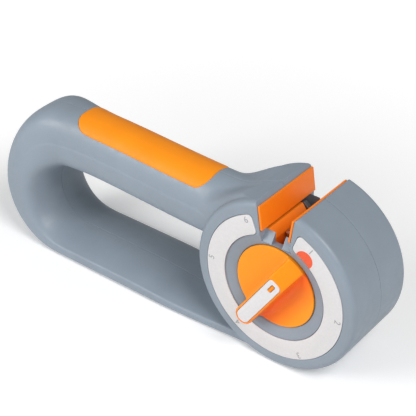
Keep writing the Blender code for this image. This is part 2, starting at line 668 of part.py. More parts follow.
def housing_shells():
    """Both halves of the housing: one hollow body, cut for everything it holds, then parted."""
    body = loop_solid("loop_outside")
    combine(body, drum_solid(), "UNION")
    room = loop_hollow()
    hollow = drum_hollow()
    for x, z, head_y in boss_places():
        post = moved(cylinder("post", BOSS_RADIUS, FRONT_Y, REAR_Y), x, z)
        target = hollow if x > DRUM_X - DRUM_RADIUS else room
        combine(target, post, "DIFFERENCE")
    combine(body, room, "DIFFERENCE")
    combine(body, hollow, "DIFFERENCE")
    combine(body, chamber_hollow(), "DIFFERENCE")
    combine(body, notch_cutter(), "DIFFERENCE")
    combine(body, slot_cutter(), "DIFFERENCE")
    combine(body, ramp_cutter(-1), "DIFFERENCE")
    combine(body, ramp_cutter(1), "DIFFERENCE")
    groove_depth = DIAL_THICKNESS - DIAL_PROUD + FIT_GAP
    groove = extruded("dial_groove", dial_outline(FIT_GAP), FRONT_Y - CUT_OVERRUN, FRONT_Y + groove_depth)
    combine(body, at_drum(groove), "DIFFERENCE")
    combine(body, dish_cutter(), "DIFFERENCE")
    front_bore = cylinder("front_bore", FRONT_BUSH_RADIUS + FIT_GAP, FRONT_Y, 0)
    combine(body, at_drum(front_bore), "DIFFERENCE")
    rear_bore = cylinder("rear_bore", REAR_BUSH_RADIUS + FIT_GAP, 0, REAR_Y)
    combine(body, at_drum(rear_bore), "DIFFERENCE")
    cap_floor_y = REAR_Y - HUB_CAP_DEPTH
    cap_pocket = cylinder("cap_pocket", HUB_CAP_RADIUS + FIT_GAP, cap_floor_y, REAR_Y + CUT_OVERRUN)
    combine(body, at_drum(cap_pocket), "DIFFERENCE")
    combine(body, pad_recess(), "DIFFERENCE")
    recess_top = SOLE_THICKNESS + FIT_GAP
    combine(body, sole_solid("sole_recess", FIT_GAP, -CUT_OVERRUN, recess_top), "DIFFERENCE")
    for x, z, head_y in boss_places():
        head_radius = SCREW_HEAD_RADIUS + FIT_GAP
        shank_radius = SCREW_SHANK_RADIUS + FIT_GAP
        end_y = head_y - SCREW_LENGTH - FIT_GAP
        profile = [(0, end_y), (shank_radius, end_y), (shank_radius, head_y - FIT_GAP),
                   (head_radius, head_y - FIT_GAP), (head_radius, REAR_Y + CUT_OVERRUN),
                   (0, REAR_Y + CUT_OVERRUN)]
        combine(body, moved(turned("screw_hole", profile), x, z), "DIFFERENCE")
    far = LOOP_REACH + DRUM_RADIUS + LOOP_REAR_RADIUS
    under = block("under_cut", (-far, -far, -far), (far, far, SOLE_PROUD))
    combine(body, under, "DIFFERENCE")
    rear = body.copy()
    rear.data = body.data.copy()
    bpy.context.scene.collection.objects.link(rear)
    half_gap = PARTING_GAP / 2
    combine(body, block("front_side", (-far, -far, -far), (far, -half_gap, far)), "INTERSECT")
    combine(rear, block("rear_side", (-far, half_gap, -far), (far, far, far)), "INTERSECT")
    body.name = "front_shell"
    rear.name = "rear_shell"
    return body, rear


def notch_liner(name, side):
    """Thin cheek plate along one wall of the notch; side is -1 on the left, 1 on the right."""
    low_z = NOTCH_FLOOR_RADIUS + LINER_FOOT_LIFT
    high_z = DRUM_RADIUS - NOTCH_CHAMFER - FIT_GAP
    outline = []
    for height, inset in ((low_z, FIT_GAP), (high_z, FIT_GAP), (high_z, FIT_GAP + LINER_THICKNESS),
                          (low_z, FIT_GAP + LINER_THICKNESS)):
        outline.append((side * (cheek_half_width(height) - inset), height))
    depth = DRUM_HALF_WIDTH - LINER_FACE_INSET
    return at_drum(extruded(name, outline, -depth, depth))


def groove_outline(radius, half_width, floor_radius, floor_half_width, bottom_radius):
    """Closed outline of a disc with one groove for each station, first groove straight up."""
    rim_z = math.sqrt(radius ** 2 - half_width ** 2)
    edge_deg = math.degrees(math.asin(half_width / radius))
    groove = [(half_width, rim_z), (floor_half_width, floor_radius), (floor_half_width, bottom_radius),
              (-floor_half_width, bottom_radius), (-floor_half_width, floor_radius), (-half_width, rim_z)]
    outline = []
    for station in range(STATION_COUNT):
        turn = station * STATION_STEP_DEG
        outline += turned_points(groove, turn)
        start = 90 + turn + edge_deg
        outline += arc(radius, start, start + STATION_STEP_DEG - 2 * edge_deg)[1:-1]
    return outline


def hex_tool(name, radius, front_y, rear_y):
    return cylinder(name, radius, front_y, rear_y, 6)


def turret_core():
    outline = groove_outline(TURRET_RADIUS, GROOVE_HALF_WIDTH, GROOVE_FLOOR_RADIUS,
                             POCKET_HALF_WIDTH, POCKET_FLOOR_RADIUS)
    core = extruded("turret_core", outline, TURRET_FRONT_Y, TURRET_REAR_Y)
    hex_end = TURRET_FRONT_Y + KNOB_HEX_LENGTH + FIT_GAP
    hex_start = TURRET_FRONT_Y - CUT_OVERRUN
    combine(core, hex_tool("hex", KNOB_SHAFT_RADIUS + FIT_GAP, hex_start, hex_end), "DIFFERENCE")
    bore = cylinder("bore", AXLE_RADIUS + BORE_CLEARANCE, TURRET_FRONT_Y, TURRET_REAR_Y + CUT_OVERRUN)
    combine(core, bore, "DIFFERENCE")
    return core


def turret_cap():
    outline = groove_outline(TURRET_RADIUS, GROOVE_HALF_WIDTH, GROOVE_FLOOR_RADIUS,
                             CAP_SLOT_HALF_WIDTH, CAP_SLOT_RADIUS)
    cap = extruded("turret_cap", outline, CAP_FRONT_Y, CAP_REAR_Y)
    bore = cylinder("bore", AXLE_RADIUS + BORE_CLEARANCE, TURRET_REAR_Y, CAP_REAR_Y + CUT_OVERRUN)
    combine(cap, bore, "DIFFERENCE")
    return cap


def index_wheel():
    half = INDEX_NOTCH_HALF_WIDTH
    rim_z = math.sqrt(INDEX_RADIUS ** 2 - half ** 2)
    edge_deg = math.degrees(math.asin(half / INDEX_RADIUS))
    outline = []
    for station in range(STATION_COUNT):
        turn = station * STATION_STEP_DEG
        notch = [(half, rim_z), (0, INDEX_RADIUS - INDEX_NOTCH_DEPTH), (-half, rim_z)]
        outline += turned_points(notch, turn)
        start = 90 + turn + edge_deg
        outline += arc(INDEX_RADIUS, start, start + STATION_STEP_DEG - 2 * edge_deg)[1:-1]
    wheel = extruded("index_wheel", outline, INDEX_FRONT_Y, INDEX_REAR_Y)
    bore = cylinder("bore", AXLE_RADIUS + BORE_CLEARANCE, CAP_REAR_Y, INDEX_REAR_Y + CUT_OVERRUN)
    combine(wheel, bore, "DIFFERENCE")
    return wheel


def detent_spring():
    """Bent strip under the click wheel, as thick as its sheet, with its bump in a notch."""
    line = np.asarray(spring_line())
    ahead = np.diff(line, axis=0)
    normals = np.stack([-ahead[:, 1], ahead[:, 0]], axis=1)
    normals /= np.linalg.norm(normals, axis=1, keepdims=True)
    corner = np.concatenate([normals[:1], normals[:-1] + normals[1:], normals[-1:]])
    corner /= (corner * corner).sum(axis=1, keepdims=True) / 2
    corner[0] /= 2
    corner[-1] /= 2
    offset = corner * SPRING_THICKNESS / 2
    outline = np.concatenate([line + offset, (line - offset)[::-1]])
    front = INDEX_FRONT_Y + FIT_GAP
    return at_drum(extruded("detent_spring", outline, front, front + SPRING_WIDTH))


def axle():
    front = TURRET_FRONT_Y + KNOB_HEX_LENGTH + 2 * FIT_GAP
    rear = REAR_Y - HUB_CAP_DEPTH - FIT_GAP
    tapped = front + AXLE_TAPPED_DEPTH
    hole = KNOB_SCREW_RADIUS + FIT_GAP
    profile = [(0, tapped), (hole, tapped), (hole, front), (AXLE_RADIUS, front),
               (AXLE_RADIUS, rear), (0, rear)]
    return turned("axle", profile)


# The knob is drawn with its pointer along +X and turned to its station afterwards
def bar_outline(inset, inner_reach, inner_corner):
    """Bar seen from the front: full round outer end, inner end with rounded corners."""
    half = BAR_HALF_WIDTH - inset
    outer_centre = BAR_REACH - BAR_HALF_WIDTH
    points = arc(half, -90, 90, (outer_centre, 0), CORNER_STEP_DEG / 2)
    start_x = -inner_reach + inner_corner
    points += arc(inner_corner, 90, 180, (start_x, half - inner_corner), CORNER_STEP_DEG)
    points += arc(inner_corner, 180, 270, (start_x, -half + inner_corner), CORNER_STEP_DEG)
    return points


def knob_bar():
    """Raised bar: square to the disc along its sides, with a ramp down to the disc's inner edge."""
    reach = KNOB_RADIUS - BAR_EDGE_ROUND
    bar = extruded("bar", bar_outline(0, reach, BAR_EDGE_ROUND), BAR_TOP_Y, KNOB_BACK_Y)
    ramp_x = -BAR_INNER_REACH
    outline = [(ramp_x, BAR_TOP_Y), (ramp_x, BAR_TOP_Y - CUT_OVERRUN),
               (-KNOB_RADIUS - CUT_OVERRUN, BAR_TOP_Y - CUT_OVERRUN),
               (-KNOB_RADIUS - CUT_OVERRUN, KNOB_EDGE_Y), (-KNOB_RADIUS, KNOB_EDGE_Y)]
    wide = BAR_HALF_WIDTH + CUT_OVERRUN
    rings = [[(x, y, z) for x, y in outline] for z in (-wide, wide)]
    combine(bar, stacked_rings("ramp", np.asarray(rings)), "DIFFERENCE")
    under = FRONT_Y - DIAL_PROUD - BAR_UNDER_CLEARANCE
    low = (math.sqrt(KNOB_RADIUS ** 2 - BAR_HALF_WIDTH ** 2), under, -wide)
    combine(bar, block("overhang", low, (BAR_REACH + CUT_OVERRUN, 0, wide)), "DIFFERENCE")
    return bar


def knob():
    edge = KNOB_EDGE_ROUND
    profile = [(0, KNOB_EDGE_Y), (KNOB_RADIUS - edge, KNOB_EDGE_Y), (KNOB_RADIUS, KNOB_EDGE_Y + edge),
               (KNOB_RADIUS, KNOB_BACK_Y - edge), (KNOB_RADIUS - edge, KNOB_BACK_Y), (0, KNOB_BACK_Y)]
    disc = turned("knob", profile, DRUM_SEGMENTS)
    combine(disc, knob_bar(), "UNION")
    shaft = cylinder("shaft", KNOB_SHAFT_RADIUS, KNOB_EDGE_Y + edge, FACE_PLATE_Y, BORE_SEGMENTS)
    combine(disc, shaft, "UNION")
    hex_end = TURRET_FRONT_Y + KNOB_HEX_LENGTH
    combine(disc, hex_tool("hex", KNOB_SHAFT_RADIUS - FIT_GAP / 2, KNOB_EDGE_Y, hex_end), "UNION")
    floor_y = BAR_TOP_Y + INLAY_DEPTH
    pocket = bar_outline(INLAY_RIM, BAR_INNER_REACH - INLAY_RIM, INLAY_INNER_CORNER)
    cut = extruded("inlay_pocket", pocket, BAR_TOP_Y - CUT_OVERRUN, floor_y)
    combine(cut, marker_solid(0, BAR_TOP_Y + INLAY_SUNK), "DIFFERENCE")
    combine(disc, cut, "DIFFERENCE")
    head_seat = floor_y + FIT_GAP + KNOB_SCREW_HEAD_THICKNESS + FIT_GAP
    hole = KNOB_SCREW_RADIUS + FIT_GAP
    head = KNOB_SCREW_HEAD_RADIUS + FIT_GAP
    profile = [(0, BAR_TOP_Y), (head, BAR_TOP_Y), (head, head_seat), (hole, head_seat), (hole, 0), (0, 0)]
    combine(disc, turned("screw_hole", profile), "DIFFERENCE")
    return disc


def marker_solid(clearance, front_y):
    """Small rounded tab of the knob that shows through the inlay's slot."""
    centre = -BAR_INNER_REACH + INLAY_RIM + MARKER_FROM_INNER_END
    half_width = MARKER_WIDTH / 2 + clearance
    outline = rounded_rectangle(MARKER_LENGTH / 2 + clearance, half_width, half_width / 2)
    outline = [(x + centre, z) for x, z in outline]
    return extruded("marker", outline, front_y, BAR_TOP_Y + INLAY_DEPTH + CUT_OVERRUN)


def knob_inlay():
    inset = INLAY_RIM + FIT_GAP
    corner = INLAY_INNER_CORNER - FIT_GAP
    front = BAR_TOP_Y + INLAY_SUNK
    plate = extruded("knob_inlay", bar_outline(inset, BAR_INNER_REACH - inset, corner), front,
                     front + INLAY_THICKNESS)
    combine(plate, marker_solid(FIT_GAP, front - CUT_OVERRUN), "DIFFERENCE")
    return plate


def knob_screw():
    head_front = BAR_TOP_Y + INLAY_DEPTH + FIT_GAP
    head_rear = head_front + KNOB_SCREW_HEAD_THICKNESS
    end = TURRET_FRONT_Y + KNOB_HEX_LENGTH + AXLE_TAPPED_DEPTH
    return headed_screw("knob_screw", KNOB_SCREW_HEAD_RADIUS, KNOB_SCREW_RADIUS, head_front, head_rear, end)


def headed_screw(name, head_radius, shank_radius, head_y, seat_y, end_y):
    """Pan screw with a hexagonal recess, drawn along Y from its head to its end."""
    profile = [(0, head_y), (head_radius, head_y), (head_radius, seat_y), (shank_radius, seat_y),
               (shank_radius, end_y), (0, end_y)]
    screw = turned(name, profile)
    low_y = head_y - RECESS_SOCKET_DEPTH
    high_y = head_y + RECESS_SOCKET_DEPTH
    combine(screw, hex_tool("socket", RECESS_SOCKET_RADIUS, low_y, high_y), "DIFFERENCE")
    return screw


# Two crossing elements stand in each station's pocket
def plate_element(name, width, thickness, side, front_y):
    """Flat plate leaning across the pocket, its foot beside one wall and its head by the other."""
    reach = POCKET_HALF_WIDTH - FIT_GAP
    low_z = POCKET_FLOOR_RADIUS + FIT_GAP
    high_z = ELEMENT_TOP_RADIUS
    outline = [(-reach, low_z), (thickness - reach, low_z), (reach, high_z), (reach - thickness, high_z)]
    outline = [(side * x, z) for x, z in outline]
    return extruded(name, outline, front_y, front_y + width)


def rod_element(name, radius, side, front_y):
    """Round rod leaning across the pocket."""
    low_z = POCKET_FLOOR_RADIUS + FIT_GAP
    height = ELEMENT_TOP_RADIUS - low_z
    foot_x = POCKET_HALF_WIDTH - FIT_GAP - radius
    lean = math.atan2(2 * foot_x, height)
    low = (-foot_x, low_z + radius * math.sin(lean))
    high = (foot_x, ELEMENT_TOP_RADIUS - radius * math.sin(lean))
    segments = 10
    rings = []
    for x, z in (low, high):
        ring = []
        for index in range(segments):
            angle = 2 * math.pi * index / segments
            out = radius * math.cos(angle)
            ring.append((side * (x + out * math.cos(lean)), front_y + radius + radius * math.sin(angle),
                         z - out * math.sin(lean)))
        rings.append(ring)
    return stacked_rings(name, np.asarray(rings))


ELEMENT_KINDS = (
    ("carbide_blade", "plate"),
    ("diamond_rod", "rod"),
    ("ceramic_rod", "rod"),
    ("scissor_blade", "plate"),
    ("serration_rod", "thin rod"),
    ("honing_rod", "rod"),
)


def station_elements(station):
    """The crossing pair of one station, turned to where that station stands."""
    name, kind = ELEMENT_KINDS[station]
    middle = (TURRET_FRONT_Y + TURRET_REAR_Y) / 2
    pair = []
    for letter, side in (("a", 1), ("b", -1)):
        full_name = name + "_" + letter
        if kind == "plate":
            front = middle + ELEMENT_PITCH / 2 if side > 0 else middle - ELEMENT_PITCH / 2 - PLATE_WIDTH
            item = plate_element(full_name, PLATE_WIDTH, PLATE_THICKNESS, side, front)
        else:
            radius = ROD_RADIUS if kind == "rod" else THIN_ROD_RADIUS
            front = middle + ELEMENT_PITCH / 2 if side > 0 else middle - ELEMENT_PITCH / 2 - 2 * radius
            item = rod_element(full_name, radius, side, front)
        pair.append(item)
    return pair


def finish(item, material, parent, turn_deg=0.0):
    """Gives a piece its material and parent, and turns it about the parent's Y axis."""
    item.data.materials.clear()
    item.data.materials.append(material)
    item.data.name = item.name
    item.parent = parent
    item.rotation_euler = (0.0, -math.radians(turn_deg), 0.0)
    item.data.shade_smooth()
    item.data.set_sharp_from_angle(angle=math.radians(SHARP_EDGE_DEG))


def frame_empty(name, place):
    empty = bpy.data.objects.new(name, None)
    empty.location = place
    bpy.context.scene.collection.objects.link(empty)
    return empty


def build():
    clear_scene()
    gray = make_material("blue_gray_plastic", (0.25, 0.30, 0.36), 0.45)
    dark_gray = make_material("dark_plastic", (0.10, 0.11, 0.13), 0.5)
    orange = make_material("orange_plastic", (1.0, 0.30, 0.02), 0.4)
    grip_orange = make_material("orange_grip", (1.0, 0.28, 0.02), 0.6)
    silver = make_material("silver_plate", (0.78, 0.77, 0.77), 0.35, 0.3)
    steel = make_material("steel", (0.6, 0.6, 0.62), 0.3, 1.0)
    carbide = make_material("carbide", (0.35, 0.35, 0.37), 0.35, 1.0)
    diamond = make_material("diamond_coat", (0.45, 0.45, 0.47), 0.7, 0.6)
    ceramic = make_material("ceramic", (0.85, 0.84, 0.80), 0.5)
    bearing = make_material("bearing_plastic", (0.8, 0.8, 0.76), 0.4)
    rubber = make_material("sole_rubber", (0.05, 0.05, 0.055), 0.8)

    housing = frame_empty("housing_frame", (0, 0, 0))
    turret = frame_empty("turret_axis", (DRUM_X, 0, DRUM_Z))

    front_shell, rear_shell = housing_shells()
    finish(front_shell, gray, housing)
    finish(rear_shell, gray, housing)
    finish(grip_pad(), grip_orange, housing)
    dial_front = FRONT_Y - DIAL_PROUD
    dial = extruded("dial_ring", dial_outline(0.0), dial_front, dial_front + DIAL_THICKNESS)
    finish(at_drum(dial), silver, housing)
    finish(notch_liner("notch_liner_left", -1), orange, housing)
    finish(notch_liner("notch_liner_right", 1), orange, housing)
    finish(sole_solid("sole_pad", 0.0, 0.0, SOLE_THICKNESS), rubber, housing)
    bush_bore = KNOB_SHAFT_RADIUS + RUNNING_CLEARANCE
    front_bush = tube("front_bush", bush_bore, FRONT_BUSH_RADIUS, POCKET_Y, FACE_PLATE_Y, BORE_SEGMENTS)
    finish(at_drum(front_bush), bearing, housing)
    rear_bush = tube("rear_bush", AXLE_RADIUS + RUNNING_CLEARANCE, REAR_BUSH_RADIUS, REAR_WALL_Y,
                     REAR_Y - HUB_CAP_DEPTH)
    finish(at_drum(rear_bush), bearing, housing)
    cap_front = REAR_Y - HUB_CAP_DEPTH + FIT_GAP
    hub_cap = cylinder("rear_hub_cap", HUB_CAP_RADIUS, cap_front, REAR_Y + HUB_CAP_PROUD, BORE_SEGMENTS)
    finish(at_drum(hub_cap), gray, housing)
    finish(detent_spring(), steel, housing)
    for index, (x, z, head_y) in enumerate(boss_places(), start=1):
        screw = headed_screw("shell_screw_" + str(index), SCREW_HEAD_RADIUS, SCREW_SHANK_RADIUS,
                             head_y + SCREW_HEAD_THICKNESS, head_y, head_y - SCREW_LENGTH)
        finish(moved(screw, x, z), steel, housing)

    finish(turret_core(), orange, turret)
    finish(turret_cap(), dark_gray, turret)
    finish(index_wheel(), dark_gray, turret)
    finish(axle(), steel, turret)
    washer_front = INDEX_REAR_Y + FIT_GAP
    washer = tube("thrust_washer", AXLE_RADIUS + BORE_CLEARANCE, THRUST_WASHER_RADIUS, washer_front,
                  washer_front + THRUST_WASHER_THICKNESS)
    finish(washer, steel, turret)
    finish(knob(), orange, turret, POINTER_DEG)
    finish(knob_inlay(), silver, turret, POINTER_DEG)
    finish(knob_screw(), steel, turret, POINTER_DEG)
    element_material = (carbide, diamond, ceramic, steel, ceramic, ceramic)
    for station in range(STATION_COUNT):
        turn = STATION_STEP_DEG * (station + 1 - PHOTO_STATION)
        for item in station_elements(station):
            finish(item, element_material[station], turret, turn)


build()
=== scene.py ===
# Rotary knife sharpener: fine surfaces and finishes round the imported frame, in metres.
import json
import math

import bmesh
import bpy
import numpy as np
from mathutils import Matrix, Vector


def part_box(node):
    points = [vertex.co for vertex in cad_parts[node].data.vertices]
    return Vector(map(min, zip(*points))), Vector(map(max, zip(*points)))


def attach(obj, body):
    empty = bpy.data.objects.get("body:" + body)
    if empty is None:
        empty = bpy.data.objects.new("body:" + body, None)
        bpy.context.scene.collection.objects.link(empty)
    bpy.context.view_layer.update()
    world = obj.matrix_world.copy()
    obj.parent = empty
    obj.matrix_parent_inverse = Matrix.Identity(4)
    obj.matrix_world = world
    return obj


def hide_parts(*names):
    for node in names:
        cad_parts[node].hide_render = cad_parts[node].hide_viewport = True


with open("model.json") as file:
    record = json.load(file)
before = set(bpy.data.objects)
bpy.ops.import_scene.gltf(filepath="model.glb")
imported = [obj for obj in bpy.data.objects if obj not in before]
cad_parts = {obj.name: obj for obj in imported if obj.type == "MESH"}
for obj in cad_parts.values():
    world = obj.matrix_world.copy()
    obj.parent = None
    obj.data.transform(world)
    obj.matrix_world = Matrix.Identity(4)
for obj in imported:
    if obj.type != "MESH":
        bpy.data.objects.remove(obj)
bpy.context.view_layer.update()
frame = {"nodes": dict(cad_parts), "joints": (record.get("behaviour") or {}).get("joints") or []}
axisX, _, axisZ = frame["joints"][0]["pos_m"]  # the turret's axis runs along Y through here
print("frame loaded, drum axis at", axisX, axisZ)


# Tools for meshes

def linked(item):
    bpy.context.scene.collection.objects.link(item)
    return item


def spanY(node):
    low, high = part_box(node)
    return low[1], high[1]


def meshPiece(name, points, faces):
    # one mesh from an array of points and a list of index arrays, each array holding faces of one size
    mesh = bpy.data.meshes.new(name)
    sizes = np.concatenate([np.full(len(block), block.shape[1]) for block in faces])
    corners = np.concatenate([block.reshape(-1) for block in faces]).astype(np.int32)
    mesh.vertices.add(len(points))
    mesh.vertices.foreach_set("co", np.asarray(points, np.float32).reshape(-1))
    mesh.loops.add(len(corners))
    mesh.loops.foreach_set("vertex_index", corners)
    mesh.polygons.add(len(sizes))
    mesh.polygons.foreach_set("loop_start", np.concatenate([[0], np.cumsum(sizes)[:-1]]).astype(np.int32))
    mesh.update(calc_edges=True)
    mesh.validate()
    return linked(bpy.data.objects.new(name, mesh))


def faceOut(piece):
    work = bmesh.new()
    work.from_mesh(piece.data)
    bmesh.ops.recalc_face_normals(work, faces=work.faces)
    work.to_mesh(piece.data)
    work.free()
    return piece


def rowsPiece(name, rows, capEnds=True):
    # surface through rows of points: each row is a closed ring, and the first and last are covered or joined
    count, around = rows.shape[:2]
    low = np.arange(count * around).reshape(count, around)
    if not capEnds:
        low = np.concatenate([low, low[:1]])
    after = np.roll(low, -1, axis=1)
    quads = np.stack([low[:-1], after[:-1], after[1:], low[1:]], axis=-1).reshape(-1, 4)
    faces = [quads]
    if capEnds:
        faces += [low[:1, ::-1], low[-1:]]
    return faceOut(meshPiece(name, rows.reshape(-1, 3), faces))


def bake(piece):
    bpy.context.view_layer.update()
    graph = bpy.context.evaluated_depsgraph_get()
    baked = bpy.data.meshes.new_from_object(piece.evaluated_get(graph))
    piece.modifiers.clear()
    piece.data = baked
    return piece


def combine(piece, tools):
    # cuts all the tools out of the piece at once, and removes them
    group = bpy.data.collections.new("tools")
    for tool in tools:
        group.objects.link(tool)
    modifier = piece.modifiers.new("combine", "BOOLEAN")
    modifier.operation = "DIFFERENCE"
    modifier.solver = "EXACT"
    modifier.operand_type = "COLLECTION"
    modifier.collection = group
    bake(piece)
    for tool in tools:
        bpy.data.objects.remove(tool, do_unlink=True)
    bpy.data.collections.remove(group)
    return piece


def halve(piece, point, normal):
    # keeps what lies behind the plane, and covers the cut
    work = bmesh.new()
    work.from_mesh(piece.data)
    everything = work.verts[:] + work.edges[:] + work.faces[:]
    cut = bmesh.ops.bisect_plane(work, geom=everything, plane_co=point, plane_no=normal, clear_outer=True)
    rim = [item for item in cut["geom_cut"] if isinstance(item, bmesh.types.BMEdge)]
    bmesh.ops.triangle_fill(work, use_beauty=True, edges=rim, normal=normal)
    work.to_mesh(piece.data)
    work.free()
    return faceOut(piece)


def soften(piece, width, segments=3, angle=32):
    # rounds every edge that turns by more than the angle
    bevel = piece.modifiers.new("edges", "BEVEL")
    bevel.width = width
    bevel.segments = segments
    bevel.limit_method = "ANGLE"
    bevel.angle_limit = math.radians(angle)
    bevel.harden_normals = False
    return bake(piece)


def smoothStep(value):
    value = np.clip(value, 0, 1)
    return value * value * (3 - 2 * value)


def smoothMin(a, b, reach):
    # the lower of two fields, with a fillet where they meet
    blend = np.clip(0.5 + 0.5 * (b - a) / reach, 0, 1)
    return b + (a - b) * blend - reach * blend * (1 - blend)


def smoothMax(a, b, reach):
    return -smoothMin(-a, -b, reach)


def roundedField(a, b, edge):
    # two fields with a rounded corner: length of their positive parts, or the larger one inside, less the edge
    return np.hypot(np.maximum(a, 0), np.maximum(b, 0)) + np.minimum(np.maximum(a, b), 0) - edge


def arc(radius, start, end, centre=(0, 0), steps=None):
    # points of an arc in degrees, both ends included
    count = steps or max(3, int(abs(end - start) / 4) + 1)
    angle = np.radians(np.linspace(start, end, count))
    return np.stack([centre[0] + radius * np.cos(angle), centre[1] + radius * np.sin(angle)], axis=1)


def quarterRound(lip, count):
    # depth below a face, and how much wider a hole is there than further in: a quarter of a circle
    depth = lip * np.linspace(0, 1, count)
    return depth, lip - np.sqrt(lip ** 2 - (lip - depth) ** 2)


def roundedRectangle(halfX, halfZ, corner, steps=9):
    turns = ((1, 1, 0), (-1, 1, 90), (-1, -1, 180), (1, -1, 270))
    return np.concatenate([arc(corner, start, start + 90, (sx * (halfX - corner), sz * (halfZ - corner)), steps)
                           for sx, sz, start in turns])


def atDepth(outline, y):
    # a flat outline of (x, z) points, set at one y
    return np.stack([outline[:, 0], np.full(len(outline), y), outline[:, 1]], axis=1)


def extruded(name, outline, front, rear):
    # an outline of (x, z) points drawn along Y
    return rowsPiece(name, np.array([atDepth(outline, front), atDepth(outline, rear)]))


def lippedRows(outline, depths):
    # rows of an outline function at (clearance, y) pairs
    return np.array([atDepth(outline(clearance), y) for clearance, y in depths])


def turned(name, profile, segments=96):
    # (radius, y) points carried round the Y axis; points on the axis are left out, as the ends are covered
    profile = np.array([point for point in profile if point[0] > 0])
    closed = len(profile) > 2 and np.abs(profile[0] - profile[-1]).max() < 1e-9
    if closed:
        profile = profile[:-1]
    angle = np.arange(segments) * 2 * math.pi / segments
    radius = profile[:, 0, None]
    rows = np.stack([radius * np.cos(angle), np.repeat(profile[:, 1, None], segments, axis=1),
                     radius * np.sin(angle)], axis=-1)
    return rowsPiece(name, rows, capEnds=not closed)


def placed(piece, x=axisX, z=axisZ, turn=0.0):
    # turns a piece drawn about the Y axis and moves it to its place, in its mesh
    piece.data.transform(Matrix.Translation((x, 0, z)) @ Matrix.Rotation(-math.radians(turn), 4, "Y"))
    return piece


def surfaceNet(field, lines):
    # closed mesh of a field's zero level over a grid given by its three lists of lines: one point in each
    # grid cell that the level crosses, the middle of its crossings, joined across the crossed edges
    slabs = np.array_split(lines[0], max(1, len(lines[0]) // 12))
    values = np.concatenate([field(*np.meshgrid(slab, *lines[1:], indexing="ij")) for slab in slabs])
    cells = tuple(len(line) - 1 for line in lines)
    total = np.zeros((int(np.prod(cells)), 3))
    hits = np.zeros(len(total))
    edges = []
    for direction in range(3):
        first = [slice(None)] * 3
        second = [slice(None)] * 3
        first[direction] = slice(None, -1)
        second[direction] = slice(1, None)
        a, b = values[tuple(first)], values[tuple(second)]
        place = np.argwhere((a < 0) != (b < 0))
        start, end = a[tuple(place.T)], b[tuple(place.T)]
        point = np.stack([lines[axis][place[:, axis]] for axis in range(3)], axis=1)
        step = lines[direction][place[:, direction] + 1] - point[:, direction]
        point[:, direction] += step * start / (start - end)
        others = [axis for axis in range(3) if axis != direction]
        around = []
        for stepA, stepB in ((-1, -1), (0, -1), (0, 0), (-1, 0)):
            near = place.copy()
            near[:, others[0]] += stepA
            near[:, others[1]] += stepB
            cell = np.ravel_multi_index(tuple(near.T), cells)
            around.append(cell)
            hits += np.bincount(cell, minlength=len(hits))
            for axis in range(3):
                total[:, axis] += np.bincount(cell, point[:, axis], minlength=len(hits))
        quads = np.stack(around, axis=1)
        flip = (start < 0) != (direction == 1)
        quads[~flip] = quads[~flip][:, ::-1]
        edges.append(quads)
    used = hits > 0
    number = np.cumsum(used) - 1
    return total[used] / hits[used][:, None], number[np.concatenate(edges)]


def pullOnto(field, points, rounds, reach=2e-5, longest=4e-4):
    # moves points along the field's slope until they lie on its zero level
    for _ in range(rounds):
        x, y, z = points.T
        value = field(x, y, z)
        slope = np.stack([field(x + reach, y, z) - field(x - reach, y, z),
                          field(x, y + reach, z) - field(x, y - reach, z),
                          field(x, y, z + reach) - field(x, y, z - reach)], axis=1) / (2 * reach)
        move = slope * (value / np.maximum((slope ** 2).sum(axis=1), 0.05))[:, None]
        length = np.maximum(np.linalg.norm(move, axis=1, keepdims=True), 1e-12)
        points = points - move * np.minimum(1, longest / length)
    return points


def gridLines(low, high, cell, extra=()):
    # even lines, with the extra ones in place of any that they come close to
    count = int(math.ceil((high - low) / cell)) + 1
    regular = low + cell * np.arange(count)
    apart = np.abs(regular[:, None] - np.asarray(extra)[None]).min(axis=1) if len(extra) else regular * 0 + cell
    return np.sort(np.concatenate([regular[apart > cell * 0.45], extra]))


def relaxed(points, quads):
    # each point moves half way to the mean of its neighbours, which evens out the mesh
    start, end = quads.reshape(-1), np.roll(quads, -1, axis=1).reshape(-1)
    size = len(points)
    share = np.bincount(start, minlength=size) + np.bincount(end, minlength=size)
    mean = np.stack([np.bincount(start, points[end, axis], size) + np.bincount(end, points[start, axis], size)
                     for axis in range(3)], axis=1) / share[:, None]
    return (points + mean) / 2


def fieldPiece(name, field, lines, rounds=3):
    # the field's zero level as a mesh, relaxed and pulled back onto it by turns
    points, quads = surfaceNet(field, lines)
    points = pullOnto(field, points, 3)
    for _ in range(rounds):
        points = pullOnto(field, relaxed(points, quads), 2)
    return faceOut(meshPiece(name, points, [quads]))


# Finishes

def feed(node, inputs):
    # sets a node's inputs: each is given its value, or linked where the value is another node's output
    for key, value in inputs.items():
        if isinstance(value, bpy.types.NodeSocket):
            node.id_data.links.new(value, node.inputs[key])
        else:
            node.inputs[key].default_value = value
    return node


def noise(nodes, scale, detail, place):
    node = nodes.new("ShaderNodeTexNoise")
    return feed(node, {"Scale": scale, "Detail": detail, "Vector": place}).outputs["Fac"]


def remap(nodes, value, low, high, fromLow=0.35, fromHigh=0.65):
    node = nodes.new("ShaderNodeMapRange")
    return feed(node, {"Value": value, "From Min": fromLow, "From Max": fromHigh, "To Min": low,
                       "To Max": high}).outputs["Result"]


def colourMix(nodes, share, first, second):
    node = nodes.new("ShaderNodeMix")
    node.data_type = "RGBA"
    return feed(node, {0: share, 6: first, 7: second}).outputs[2]


def newMaterial(name):
    material = bpy.data.materials.new(name)
    material.use_nodes = True
    nodes = material.node_tree.nodes
    return material, nodes, nodes.new("ShaderNodeTexCoord").outputs["Object"]


